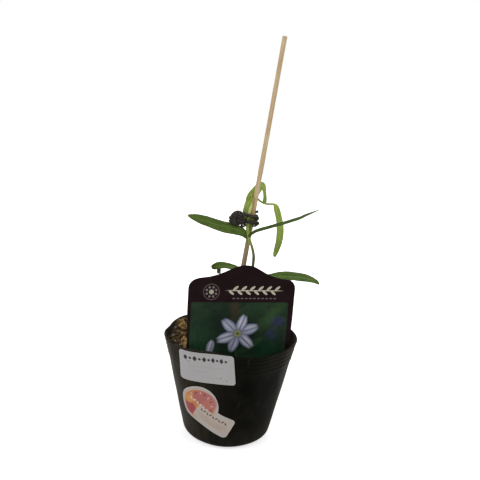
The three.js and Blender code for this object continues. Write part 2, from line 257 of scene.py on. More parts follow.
def streakNode(tree, place, scale):
    # noise drawn out along one axis, by its scale along each
    pulled = addNode(tree, "ShaderNodeMapping", vector=place, scale=scale)
    return noiseNode(tree, pulled.outputs[0], 1.0, 4.0)


def rampNode(tree, factor, low, high, fromLow=0.0, fromHigh=1.0, smooth=True):
    settings = {"interpolation_type": "SMOOTHSTEP" if smooth else "LINEAR"}
    node = addNode(tree, "ShaderNodeMapRange", settings, value=factor, fromMin=fromLow, fromMax=fromHigh,
                   toMin=low, toMax=high)
    return node.outputs[0]


def mixColour(tree, factor, a, b):
    # a and b are outputs of other nodes, or red, green and blue as read on a screen
    node = addNode(tree, "ShaderNodeMix", {"data_type": "RGBA"})
    colours = [c if isinstance(c, bpy.types.NodeSocket) else shade(*c) for c in (a, b)]
    for socket, value in zip([s for s in node.inputs if s.enabled], (factor, *colours)):
        feed(tree, socket, value)
    return [s for s in node.outputs if s.enabled][0]


def shade(red, green, blue):
    # a colour as read on a screen, 0 to 255, as the light that the shader needs
    channels = []
    for value in (red, green, blue):
        value /= 255
        channels.append(value / 12.92 if value <= 0.04045 else ((value + 0.055) / 1.055) ** 2.4)
    return (*channels, 1)


def darker(colour, share):
    return [share * c for c in colour]


def newGroup(name, inputs, outputs):
    # inputs and outputs are lists of (name, socket kind, value)
    group = bpy.data.node_groups.new(name, "ShaderNodeTree")
    for label, kind, value in inputs:
        socket = group.interface.new_socket(label, in_out="INPUT", socket_type="NodeSocket" + kind)
        if value is not None:
            socket.default_value = value
    for label, kind in outputs:
        group.interface.new_socket(label, in_out="OUTPUT", socket_type="NodeSocket" + kind)
    entry = group.nodes.new("NodeGroupInput")
    leave = group.nodes.new("NodeGroupOutput")
    return group, entry.outputs, leave.inputs


def placeGroup(tree, group, **inputs):
    node = tree.nodes.new("ShaderNodeGroup")
    node.node_tree = group
    for key, value in inputs.items():
        feed(tree, node.inputs[key], value)
    return node


def grainGroup():
    # a fine mottle in two sizes: a mask for colour and a height for bump
    inputs = [("place", "Vector", None), ("scale", "Float", 300.0), ("stretch", "Vector", (1, 1, 1))]
    group, given, out = newGroup("surfaceGrain", inputs, [("mask", "Float"), ("height", "Float")])
    pulled = vectorNode(group, "MULTIPLY", given["place"], given["stretch"]).outputs[0]
    broad = noiseNode(group, pulled, given["scale"], 5.0)
    fine = noiseNode(group, pulled, mathNode(group, "MULTIPLY", given["scale"], 5.0), 3.0)
    group.links.new(rampNode(group, broad, 0, 1, 0.35, 0.65), out["mask"])
    both = mathNode(group, "ADD", broad, mathNode(group, "MULTIPLY", fine, 0.35))
    group.links.new(both, out["height"])
    return group


def dustGroup():
    # dried splashes and dust: a mask that is 0 on most of the surface
    inputs = [("place", "Vector", None), ("scale", "Float", 60.0), ("amount", "Float", 0.5)]
    group, given, out = newGroup("dust", inputs, [("mask", "Float")])
    patches = noiseNode(group, given["place"], given["scale"], 6.0, 0.7)
    specks = addNode(group, "ShaderNodeTexVoronoi", vector=given["place"],
                     scale=mathNode(group, "MULTIPLY", given["scale"], 9.0))
    speckMask = rampNode(group, specks.outputs["Distance"], 1, 0, 0.06, 0.2)
    patchMask = rampNode(group, patches, 0, 1, 0.5, 0.75)
    both = mathNode(group, "ADD", mathNode(group, "MULTIPLY", speckMask, patchMask),
                    mathNode(group, "MULTIPLY", patchMask, 0.45))
    group.links.new(mathNode(group, "MULTIPLY", both, given["amount"], clamp=True), out["mask"])
    return group


def printShapeGroup():
    # one printed shape on a flat piece: 1 inside, 0 outside, with a soft or crisp edge
    inputs = [("place", "Vector", None), ("middle", "Vector", (0, 0, 0)), ("half", "Vector", (1, 1, 1)),
              ("turn", "Float", 0.0), ("square", "Float", 2.0), ("edge", "Float", 0.05)]
    group, given, out = newGroup("printShape", inputs, [("mask", "Float")])
    moved = vectorNode(group, "SUBTRACT", given["place"], given["middle"])
    turned = addNode(group, "ShaderNodeVectorRotate", {"rotation_type": "Z_AXIS"}, vector=moved.outputs[0],
                     angle=mathNode(group, "MULTIPLY", given["turn"], -1.0))
    sized = vectorNode(group, "DIVIDE", turned.outputs[0], given["half"])
    axes = addNode(group, "ShaderNodeSeparateXYZ", vector=sized.outputs[0])
    powers = []
    for i in (0, 1):
        size = mathNode(group, "ABSOLUTE", axes.outputs[i])
        powers.append(mathNode(group, "POWER", size, given["square"]))
    total = mathNode(group, "ADD", *powers)
    reach = mathNode(group, "POWER", total, mathNode(group, "DIVIDE", 1.0, given["square"]))
    low = mathNode(group, "SUBTRACT", 1.0, given["edge"])
    high = mathNode(group, "ADD", 1.0, given["edge"])
    group.links.new(rampNode(group, reach, 1, 0, low, high), out["mask"])
    return group


surfaceGrain = grainGroup()
dust = dustGroup()
printShape = printShapeGroup()


def objectPlace(tree):
    return addNode(tree, "ShaderNodeTexCoord").outputs["Object"]


def grainyMaterial(name, scale, stretch=(1, 1, 1)):
    # a material with the mottle laid on it: place, mask and height
    material, tree, shader = newMaterial(name)
    place = objectPlace(tree)
    grain = placeGroup(tree, surfaceGrain, place=place, scale=scale, stretch=stretch)
    return material, tree, shader, place, grain.outputs["mask"], grain.outputs["height"]


def flatPlace(tree):
    # where a point lies on the flat print, in millimetres
    return addNode(tree, "ShaderNodeAttribute", {"attribute_name": "flat"}).outputs["Vector"]


def shapeMask(tree, place, shape, share=1):
    half = (shape["half"][0] * share, shape["half"][1] * share, 1)
    node = placeGroup(tree, printShape, place=place, middle=(*shape["middle"], 0), half=half,
                      turn=radians(shape.get("turn", 0)), square=shape.get("square", 2.0),
                      edge=shape.get("edge", 0.06))
    return node.outputs["mask"]


def printOn(tree, ground, place, shapes):
    # lays each shape over the ground colour in turn; a ring has its hollow share taken out
    for shape in shapes:
        factor = mathNode(tree, "MULTIPLY", shapeMask(tree, place, shape), shape.get("strength", 1.0))
        if "hollow" in shape:
            inner = shapeMask(tree, place, shape, shape["hollow"])
            factor = mathNode(tree, "SUBTRACT", factor, inner, clamp=True)
        ground = mixColour(tree, factor, ground, shape["colour"])
    return ground


def bumpNode(tree, height, distance, strength, under=None):
    node = addNode(tree, "ShaderNodeBump", height=height, distance=distance, strength=strength)
    if under is not None:
        tree.links.new(under, node.inputs["Normal"])
    return node.outputs[0]


def setShader(tree, shader, colour, roughness, specular, normal):
    feed(tree, shader.inputs["Base Color"], colour)
    feed(tree, shader.inputs["Roughness"], roughness)
    shader.inputs["Specular IOR Level"].default_value = specular
    tree.links.new(normal, shader.inputs["Normal"])


def letLightIn(shader, weight, radius):
    # a little light goes into leaf and stem
    shader.inputs["Subsurface Weight"].default_value = weight
    shader.inputs["Subsurface Radius"].default_value = radius


# The pot's wall, which the compost and the stickers follow.
pot = {
    "height": 70, "rimRadius": 45, "heelHeight": 7, "heelTopRadius": 30, "thickness": 0.8,
    "baseThickness": 1, "ribs": (57.6, 60.6, 63.6, 66.6), "ribProud": 0.28, "ribWidth": 0.62,
    "ribsInside": 0.8, "rimDepth": 1.3, "beadHalf": 0.55, "beadProud": 0.27,
    "sides": 192, "wallCuts": 96, "closingRing": 1,
    "drainHoles": 8, "drainRadius": 3, "drainCircle": 15, "drillDepth": 4,
    # azimuth, reach and push at the rim: pressed flat by the stiff sticker, bulging beside it
    "waves": ((-15, 18, -4.2), (21, 14, 3), (-58, 12, 1), (-140, 20, 5), (-101, 11, -1.4), (95, 30, 0.45),
              (118, 18, 0.8)),
    # the same lower down, with the height and its reach: flattened behind the stickers,
    # and sagging out at the front and right of the heel
    "presses": ((-10, 26, -2.2, 57, 21.5), (-42, 10, 1.5, 38, 24), (0, 30, 1.3, 8, 36),
                (70, 45, 1.2, 8, 36)),
    "dents": 0.26, "dentScale": (2.4, 16), "dentsFrom": (2, 20),
}
wallSlope = (pot["rimRadius"] - pot["heelTopRadius"]) / (pot["height"] - pot["heelHeight"])
wallAngle = atan(wallSlope)


def azimuthOf(x, y):
    return degrees(atan2(x, -y))


def wallRadius(height):
    return pot["rimRadius"] - (pot["height"] - height) * wallSlope


def wallPush(azimuth, height):
    push = 0
    for at, reach, amount in pot["waves"]:
        push += amount * bell(azimuth, at, reach)
    push *= (height / pot["height"]) ** 2
    for at, reach, amount, level, levelReach in pot["presses"]:
        push += amount * bell(azimuth, at, reach) * bell(height, level, levelReach)
    around = radians(azimuth)
    wide, high = pot["dentScale"]
    place = Vector((wide * sin(around), wide * cos(around), height / high))
    return push + noise.noise(place) * pot["dents"] * smoothStep(height, *pot["dentsFrom"])


def followWall(point):
    radius = hypot(point.x, point.y)
    if radius < 1:
        return point
    share = radius / max(wallRadius(point.z), 1)
    k = (radius + wallPush(azimuthOf(point.x, point.y), point.z) * share) / radius
    return Vector((point.x * k, point.y * k, point.z))


def heelArc(inset, steps):
    middle = pot["heelTopRadius"] - pot["heelHeight"] / cos(wallAngle)
    radius = pot["heelHeight"] - inset
    arc = []
    for i in range(steps + 1):
        angle = -pi / 2 + i / steps * (pi / 2 - wallAngle)
        arc.append((middle + radius * cos(angle), pot["heelHeight"] + radius * sin(angle)))
    return arc


def turnedPiece(profile, sides):
    # rings drawn out one after another, then both ends closed
    radius, height = profile[0]
    bpy.ops.mesh.primitive_circle_add(vertices=sides, radius=radius * mm, location=(0, 0, height * mm))
    piece = bpy.context.object
    applyPlace(piece)
    editAll()
    bpy.ops.mesh.edge_face_add()
    bpy.ops.mesh.delete(type="ONLY_FACE")
    bpy.ops.mesh.select_all(action="SELECT")
    for (fromRadius, fromHeight), (toRadius, toHeight) in zip(profile, profile[1:]):
        step = {"value": (0, 0, (toHeight - fromHeight) * mm)}
        bpy.ops.mesh.extrude_region_move(TRANSFORM_OT_translate=step)
        k = toRadius / fromRadius
        bpy.ops.transform.resize(value=(k, k, 1), center_override=(0, 0, toHeight * mm))
    bpy.ops.mesh.select_all(action="DESELECT")
    bpy.ops.mesh.select_mode(type="EDGE")
    bpy.ops.mesh.select_non_manifold()
    bpy.ops.mesh.edge_face_add()
    bpy.ops.object.mode_set(mode="OBJECT")
    cleanMesh(piece)
    return piece


def ribSwell(height):
    swell = 0
    for rib in pot["ribs"]:
        swell += pot["ribProud"] * bell(height, rib, pot["ribWidth"])
    return swell


def makePot():
    low, high, cuts = pot["heelHeight"], pot["height"] - pot["rimDepth"], pot["wallCuts"]
    heights = [blend(low, high, i / cuts) for i in range(1, cuts + 1)]
    outside = [(pot["closingRing"], 0), *heelArc(0, 10)]
    outside += [(wallRadius(z) + ribSwell(z), z) for z in heights]
    halfWall, beadHalf = pot["thickness"] / 2, pot["beadHalf"]
    rim = []
    for i in range(9):
        angle = radians(-20 + i * 27.5)
        rim.append((pot["rimRadius"] - halfWall + (halfWall + pot["beadProud"]) * cos(angle),
                    pot["height"] - beadHalf + beadHalf * sin(angle)))
    inside = [(wallRadius(z) + pot["ribsInside"] * ribSwell(z) - pot["thickness"], z)
              for z in reversed(heights)]
    bottom = [*reversed(heelArc(pot["baseThickness"], 8)), (pot["closingRing"], pot["baseThickness"])]
    piece = turnedPiece([*outside, *rim, *inside, *bottom], pot["sides"])
    moveVertices(piece, followWall)
    for i in range(pot["drainHoles"]):
        angle = (i + 0.5) / pot["drainHoles"] * 2 * pi
        place = (pot["drainCircle"] * cos(angle) * mm, pot["drainCircle"] * sin(angle) * mm, 0)
        bpy.ops.mesh.primitive_cylinder_add(vertices=32, radius=pot["drainRadius"] * mm,
                                            depth=pot["drillDepth"] * mm, location=place)
        drill = bpy.context.object
        cut = piece.modifiers.new("drain", "BOOLEAN")
        cut.operation = "DIFFERENCE"
        cut.object = drill
        cut.solver = "EXACT"
        applyModifiers(piece)
        bpy.data.objects.remove(drill)
    smoothShade(piece, 50)
    return piece


potSkin = {
    "film": ((9, 10, 6), (16, 16, 11)), "ribs": (26, 26, 20), "soil": (58, 53, 42), "scuff": (48, 47, 40),
    "bloom": (60, 55, 46), "sheen": (232, 220, 196),
    # from where to where, in metres: the ribs' painted shine by height, a warm coat of dust and painted
    # sheen by x on the left and right side, where the light falls, and the same coat paler towards the foot
    # by height round the heel
    "ribsFrom": (0.05, 0.0565), "bloomLeft": (-0.028, 0.008), "bloomRight": (0.028, 0.043),
    "bloomHeel": (0.003, 0.02),
}


def potPlastic():
    material, tree, shader, place, mask, height = grainyMaterial("potPlastic", 90.0, (1, 1, 0.35))
    low, high = potSkin["film"]
    ground = mixColour(tree, mask, low, high)
    axes = addNode(tree, "ShaderNodeSeparateXYZ", vector=place)
    x, z = axes.outputs[0], axes.outputs[2]
    # painted shine: the ribs and the wall above them are a little lighter
    ribShine = rampNode(tree, z, 0, 0.25, *potSkin["ribsFrom"])
    ground = mixColour(tree, ribShine, ground, potSkin["ribs"])
    soil = placeGroup(tree, dust, place=place, scale=34.0, amount=0.55).outputs["mask"]
    ground = mixColour(tree, soil, ground, potSkin["soil"])
    # light vertical streaks: partly scuffs, partly painted glints
    scuff = streakNode(tree, place, (260, 260, 22))
    ground = mixColour(tree, rampNode(tree, scuff, 0, 0.6, 0.6, 0.76), ground, potSkin["scuff"])
    # painted sheen on the left and right walls, partly dust, streaked; and paler towards the foot round the
    # heel
    bloom = mathNode(tree, "MAXIMUM", rampNode(tree, x, 1, 0, *potSkin["bloomLeft"]),
                     rampNode(tree, z, 0.5, 0, *potSkin["bloomHeel"]))
    bloom = mathNode(tree, "MAXIMUM", bloom, rampNode(tree, x, 0, 0.45, *potSkin["bloomRight"]))
    streakySheen = mathNode(tree, "MULTIPLY", bloom, rampNode(tree, scuff, 0.6, 1, 0.38, 0.62))
    ground = mixColour(tree, streakySheen, ground, potSkin["bloom"])
    rough = mathNode(tree, "ADD", rampNode(tree, mask, 0.36, 0.5),
                     mathNode(tree, "MULTIPLY", soil, 0.35))
    crinkle = bumpNode(tree, noiseNode(tree, place, 140.0, 3.0), 0.0005, 0.35)
    normal = bumpNode(tree, height, 0.00012, 0.4, crinkle)
    setShader(tree, shader, ground, rough, 0.035, normal)
    shader.inputs["Sheen Weight"].default_value = 0.2
    shader.inputs["Sheen Roughness"].default_value = 0.25
    shader.inputs["Sheen Tint"].default_value = shade(*potSkin["sheen"])
    return material


finishPiece(makePot(), [potPlastic()], "pot_shell", "pot_plastic", "pot")
print("pot made")


compost = {
    "level": 62, "tilt": (-0.085, 0.075), "heap": (-33, 25, 3.6, 11), "gap": 0.3, "sides": 144,
    "flatTop": 56, "topRings": 46, "edgeAt": 42, "settled": 0.5,
    # the size, height and noise layer of lumps and grit
    "relief": ((6.5, 1.5, 3), (1.9, 0.55, 8)),
    # how many, their sizes, how far they tip over, how high they lie and how near the edge
    "crumbs": (760, (0.8, 2.6), 1.5, 0.12, 0.97), "chips": (90, (0.9, 2.4), 0.35, 0.22, 0.93),
    "fibres": (120, (0.7, 1.5), 0.2, 0.35, 0.9),
}


def compostHeight(x, y):
    atX, atY, high, reach = compost["heap"]
    heap = high * bell(hypot(x - atX, y - atY), 0, reach)
    return compost["level"] + compost["tilt"][0] * x + compost["tilt"][1] * y + heap


def compostTop(x, y):
    # the same surface with its lumps and grit
    height = compostHeight(x, y)
    for size, high, layer in compost["relief"]:
        height += noise.noise(Vector((x / size, y / size, layer))) * high
    return height - compost["settled"]


def compostEdge(x, y):
    height = compostHeight(x, y)
    azimuth = azimuthOf(x, y)
    return wallRadius(height) + wallPush(azimuth, height) - pot["thickness"] - compost["gap"]


def makeCompost():
    inset = pot["thickness"] + compost["gap"]
    foot = pot["baseThickness"] + compost["gap"]
    flatTop, rings = compost["flatTop"], compost["topRings"]
    outer = wallRadius(flatTop) - inset
    profile = [(pot["closingRing"], foot), *heelArc(foot, 6)]
    profile += [(wallRadius(z) - inset, z) for z in range(14, 51, 6)]
    profile += [(outer * (1 - i / rings) + 0.2, flatTop) for i in range(rings + 1)]
    piece = turnedPiece(profile, compost["sides"])

    def settle(point):
        if point.z < flatTop - 0.01:
            return followWall(point)
        part = min(hypot(point.x, point.y) / outer, 1)
        around = Vector((point.x, point.y)).normalized()
        edge = compostEdge(around.x * compost["edgeAt"], around.y * compost["edgeAt"])
        x, y = around.x * edge * part, around.y * edge * part
        return Vector((x, y, compostTop(x, y)))

    moveVertices(piece, settle)
    smoothShade(piece, 60)
    return piece


def compostMaterial(name, dark, pale, scale):
    material, tree, shader, place, mask, height = grainyMaterial(name, scale * 1.7)
    cells = addNode(tree, "ShaderNodeTexVoronoi", vector=place, scale=scale)
    tone = addNode(tree, "ShaderNodeSeparateColor", color=cells.outputs["Color"]).outputs[0]
    ground = mixColour(tree, rampNode(tree, tone, 0, 1), dark, pale)
    ground = mixColour(tree, mathNode(tree, "MULTIPLY", mask, 0.5), ground, darker(dark, 0.6))
    high = mathNode(tree, "ADD", height, mathNode(tree, "MULTIPLY", tone, 0.6))
    setShader(tree, shader, ground, 0.92, 0.25, bumpNode(tree, high, 0.0009, 0.8))
    return material


def insideCompost(spread):
    # a random place on the compost
    while True:
        x, y = random.uniform(-45, 45), random.uniform(-45, 45)
        if hypot(x, y) < compostEdge(x, y) * spread:
            return x, y


def scatter(base, count, sizes, tip, lift, spread):
    # copies of one shape strewn on the compost, each copy turned and sized by chance
    copies = []
    for _ in range(count):
        x, y = insideCompost(spread)
        size = random.uniform(*sizes) * random.uniform(0.7, 1)
        copy = base.copy()
        copy.data = base.data.copy()
        scene.collection.objects.link(copy)
        turn = Matrix.Rotation(random.uniform(0, 2 * pi), 4, "Z")
        tilt = Matrix.Rotation(random.uniform(-tip, tip), 4, "X")
        roll = Matrix.Rotation(random.uniform(-tip, tip), 4, "Y")
        grow = Matrix.Diagonal((size * random.uniform(0.8, 1.3), size * random.uniform(0.8, 1.2), size, 1))
        move = Matrix.Translation(Vector((x, y, compostTop(x, y) + size * lift)) * mm)
        copy.data.transform(move @ turn @ tilt @ roll @ grow)
        copies.append(copy)
    return copies


def crumbShape():
    bpy.ops.mesh.primitive_ico_sphere_add(subdivisions=1, radius=0.5 * mm)
    piece = bpy.context.object
    editAll()
    bpy.ops.transform.vertex_random(offset=0.12 * mm, seed=3)
    bpy.ops.object.mode_set(mode="OBJECT")
    return piece


def chipShape():
    # a flat splinter of bark with broken edges
    bpy.ops.mesh.primitive_cube_add(size=1 * mm)
    piece = bpy.context.object
    piece.scale = (1.6, 0.7, 0.28)
    applyPlace(piece)
    editAll()
    bpy.ops.mesh.bevel(offset=0.06 * mm, segments=1, affect="EDGES")
    bpy.ops.transform.vertex_random(offset=0.07 * mm, seed=5)
    bpy.ops.object.mode_set(mode="OBJECT")
    return piece


def fibreShape():
    line = smoothPath([(-2.2, 0, 0), (-0.8, 0.4, 0.25), (0.6, -0.1, 0.1), (2.2, 0.5, 0.05)], 6)
    return tubeAlong("fibre", line, lambda part: 0.09, 4)


def strewCompost():
    crumb, chip, fibre = crumbShape(), chipShape(), fibreShape()
    dark = scatter(crumb, *compost["crumbs"])
    pale = scatter(chip, *compost["chips"]) + scatter(fibre, *compost["fibres"])
    for base in (crumb, chip, fibre):
        bpy.data.objects.remove(base)
    return joinAll(dark), joinAll(pale)


compostMix = compostMaterial("compostMix", (68, 53, 31), (120, 95, 55), 520.0)
finishPiece(makeCompost(), [compostMix], "compost_mix", "compost", "compost")
darkCrumbs, barkAndFibre = strewCompost()
for crumbs, name, dark, pale in ((darkCrumbs, "compost_crumbs", (40, 32, 26), (82, 66, 48)),
                                 (barkAndFibre, "compost_bark", (66, 48, 32), (128, 100, 66))):
    finishPiece(crumbs, [compostMaterial(name + "Finish", dark, pale, 700.0)], name, "compost")
print("compost made")


# Each grain's place, radius and length against its width. The relief is the scale, height
# and noise axis of knobs, lumps and pits.
grains = {
    "relief": ((1.1, 0.65, 0), (2.4, 0.22, 2), (6, 0.07, 1)), "flatness": 0.75, "proud": 0.25,
    "ochre": ((-33.9, 14.3, 3.1, 1), (-35.4, 20, 2.2, 1), (-32.8, 5.4, 1.5, 1.2), (-31.4, -3.6, 1.9, 2.2),
              (-30.4, -12, 1.9, 2.2), (13, 24, 2.4, 1.2), (30, 9, 2.2, 1.3), (-8, 33, 2, 1.1)),
    "perlite": ((-39.4, 1.5, 0.8, 1), (-37.2, -7.5, 0.7, 1.2), (-39.2, 13.2, 0.85, 1), (-36.5, 8.4, 0.7, 1),
                (-33.3, -12.4, 0.65, 1.2), (20, 32, 1.1, 1), (4, 14, 1, 1.2), (34, -6, 1, 1)),
}


def makeGrain(x, y, size, long, seed, roughness):
    bpy.ops.mesh.primitive_ico_sphere_add(subdivisions=5, radius=mm)
    piece = bpy.context.object
    place = Vector((x, y, compostHeight(x, y) + grains["proud"] * size))

    def roughen(point):
        k = 1
        for scale, high, axis in grains["relief"]:
            shift = Vector((0, 0, 0))
            shift[axis] = seed * 3
            k += noise.noise(point * scale + shift) * high * roughness
        k *= size
        return Vector((point.x * k, point.y * k * long, point.z * k * grains["flatness"])) + place

    moveVertices(piece, roughen)
    smoothShade(piece, 60)
    return piece


def grainMaterial(name, dark, pale, scale):
    material, tree, shader, place, mask, height = grainyMaterial(name, scale)
    pits = addNode(tree, "ShaderNodeTexVoronoi", vector=place, scale=scale * 2.4)
    pitShade = rampNode(tree, pits.outputs["Distance"], 1, 0, 0.1, 0.45)
    # the pits are darker: painted shade in the hollows
    ground = mixColour(tree, mask, dark, pale)
    ground = mixColour(tree, mathNode(tree, "MULTIPLY", pitShade, 0.45), ground, darker(dark, 0.5))
    high = mathNode(tree, "SUBTRACT", height, mathNode(tree, "MULTIPLY", pitShade, 0.5))
    setShader(tree, shader, ground, 0.9, 0.3, bumpNode(tree, high, 0.0006, 0.7))
    return material


ochreFinish = grainMaterial("ochreGrain", (118, 92, 48), (190, 158, 98), 420.0)
perliteFinish = grainMaterial("perliteGrain", (140, 136, 128), (200, 197, 190), 1400.0)
for kind, slotName, finish, rough in (("ochre", "ochre_grain", ochreFinish, 1.0),
                                      ("perlite", "perlite", perliteFinish, 1.2)):
    for i, (x, y, size, long) in enumerate(grains[kind]):
        nodeName = f"{slotName}_{i + 1}"
        lump = makeGrain(x, y, size, long, i + (20 if kind == "perlite" else 0), rough)
        finishPiece(lump, [finish], nodeName + "_lump", slotName, nodeName)
print("grains made")


cane = {
    "foot": (-6.9, 0, 5), "top": (22.9, 0, 267), "radius": 1.5, "sides": 28, "cuts": 130, "edge": 0.18,
    # split faces nearly flat, fibres that stand a little proud, knots, and a stouter foot
    "squareness": 0.07, "slimmer": 0.03, "splinter": 0.1, "fibreScale": (3.2, 60), "knots": 0.05,
    "knotLength": 9, "footSwell": 0.1, "swellEnds": (100, 155), "bow": 0.105,
    # metres up: darker and greyer lower down, which is painted shade, and olive green round the tie
    "greyEnds": (0.085, 0.165), "greenFrom": (0.136, 0.14), "greenTo": (0.15, 0.1525),
}


def makeCane():
    foot, top = Vector(cane["foot"]), Vector(cane["top"])
    long = (top - foot).length
    bpy.ops.mesh.primitive_cylinder_add(vertices=cane["sides"], radius=cane["radius"] * mm, depth=long * mm,
                                        location=(0, 0, long / 2 * mm))
    piece = bpy.context.object
    applyPlace(piece)
    bpy.ops.object.mode_set(mode="EDIT")
    for i in range(1, cane["cuts"]):
        bpy.ops.mesh.select_all(action="SELECT")
        bpy.ops.mesh.bisect(plane_co=(0, 0, long * mm * i / cane["cuts"]), plane_no=(0, 0, 1))
    bpy.ops.object.mode_set(mode="OBJECT")
    cleanMesh(piece)
    lean = (top - foot).to_track_quat("Z", "X").to_matrix()
    wide, high = cane["fibreScale"]

    def split(point):
        around = atan2(point.y, point.x)
        if hypot(point.x, point.y) > 0.1:
            squared = cane["squareness"] * cos(4 * around + 0.4) - cane["slimmer"]
            line = noise.noise(Vector((wide * cos(around), wide * sin(around), point.z / high)))
            knot = cane["knots"] * noise.noise(Vector((0, 0, point.z / cane["knotLength"])))
            swell = cane["footSwell"] * (1 - smoothStep(point.z, *cane["swellEnds"]))
            k = 1 + squared + cane["splinter"] * line + knot + swell
            point = Vector((point.x * k, point.y * k, point.z))
        bow = cane["bow"] * sin(pi * point.z / long)
        return lean @ (point + Vector((0, bow, 0))) + foot

    moveVertices(piece, split)
    roundEdges(piece, cane["edge"])
    smoothShade(piece, 45)
    return piece


def bamboo():
    material, tree, shader = newMaterial("bamboo")
    place = objectPlace(tree)
    lean = atan2(cane["top"][0] - cane["foot"][0], cane["top"][2] - cane["foot"][2])
    along = addNode(tree, "ShaderNodeMapping", vector=place, rotation=(0, -lean, 0)).outputs[0]
    grain = placeGroup(tree, surfaceGrain, place=along, scale=2600.0, stretch=(1, 1, 0.018))
    mottle = streakNode(tree, along, (300, 300, 40))
    ground = mixColour(tree, rampNode(tree, mottle, 0, 1, 0.35, 0.65), (232, 203, 158),
                       (250, 228, 190))
    fibre = rampNode(tree, grain.outputs["height"], 0, 0.75, 0.55, 0.8)
    ground = mixColour(tree, fibre, ground, (208, 168, 120))
    height = addNode(tree, "ShaderNodeSeparateXYZ", vector=place).outputs[2]
    # painted shade: darker and greyer lower down the cane
    ground = mixColour(tree, rampNode(tree, height, 0.85, 0, *cane["greyEnds"]), ground, (134, 112, 78))
    # olive green round the tie, from 136 to 152.5 mm up
    green = mathNode(tree, "MINIMUM", rampNode(tree, height, 0, 0.85, *cane["greenFrom"]),
                     rampNode(tree, height, 0.85, 0, *cane["greenTo"]))
    ground = mixColour(tree, green, ground, (172, 172, 88))
    setShader(tree, shader, ground, rampNode(tree, grain.outputs["mask"], 0.55, 0.75), 0.25,
              bumpNode(tree, grain.outputs["height"], 0.00025, 0.6))
    return material


finishPiece(makeCane(), [bamboo()], "cane_split", "bamboo", "cane")
print("cane made")


stem = {
    "path": ((5.5, -3, 48), (5.8, -3, 61), (7.6, -3.3, 76), (10.7, -3.8, 93), (11.75, -4, 109),
             (12.15, -4, 119.5), (12.1, -4, 126), (10.4, -3.9, 132.3), (8.4, -3.6, 136.8), (7.3, -3.1, 141),
             (6.9, -2.6, 147), (7.2, -2.4, 152), (7.9, -2.3, 156.2), (8.7, -2, 159.3), (9.4, -1.7, 162),
             (10, -1.5, 164.4)),
    "footRadius": 1.32, "tipRadius": 0.62, "steps": 150, "sides": 16,
    # how far up, how much thicker and over what reach
    "swellings": ((0.528, 0.5, 0.018), (0.64, 0.14, 0.07), (0.775, 0.5, 0.03), (0.835, 0.4, 0.05),
                  (0.93, 0.25, 0.03)),
    "ridge": 0.03, "ridges": 90,
    # metres up: woody at the foot, fresh green from the middle node, pale above the tie, then
    # drying to the cane's colour at the cut end
    "woodyTo": (0.062, 0.1), "freshFrom": (0.128, 0.139), "paleFrom": (0.15, 0.153),
    "dryFrom": (0.1575, 0.162),
}


def stemRadius(part):
    swell = 0
    for at, more, reach in stem["swellings"]:
        swell += more * bell(part, at, reach)
    ridge = stem["ridge"] * sin(stem["ridges"] * part)
    return blend(stem["footRadius"], stem["tipRadius"], part) + swell + ridge


def stemFinish():
    material, tree, shader, place, mask, relief = grainyMaterial("stemSkin", 1500.0, (1, 1, 0.12))
    up = addNode(tree, "ShaderNodeSeparateXYZ", vector=place).outputs[2]
    old = mixColour(tree, mask, (101, 114, 61), (131, 142, 81))
    fresh = mixColour(tree, mask, (158, 182, 76), (198, 214, 116))
    ground = mixColour(tree, rampNode(tree, up, 0, 1, *stem["freshFrom"]), old, fresh)
    for ends, low, high, colour in (("paleFrom", 0, 0.9, (232, 234, 156)),
                                    ("dryFrom", 0, 0.8, (176, 150, 92)), ("woodyTo", 1, 0, (96, 78, 56))):
        ground = mixColour(tree, rampNode(tree, up, low, high, *stem[ends]), ground, colour)
    setShader(tree, shader, ground, 0.55, 0.25, bumpNode(tree, relief, 0.0002, 0.5))
    letLightIn(shader, 0.12, (0.0008, 0.001, 0.0004))
    return material


stemPiece = tubeAlong("stem", smoothPath(stem["path"], stem["steps"]), stemRadius, stem["sides"])
smoothShade(stemPiece, 70)
finishPiece(stemPiece, [stemFinish()], "stem_climbing", "stem", "stem")
print("stem made")


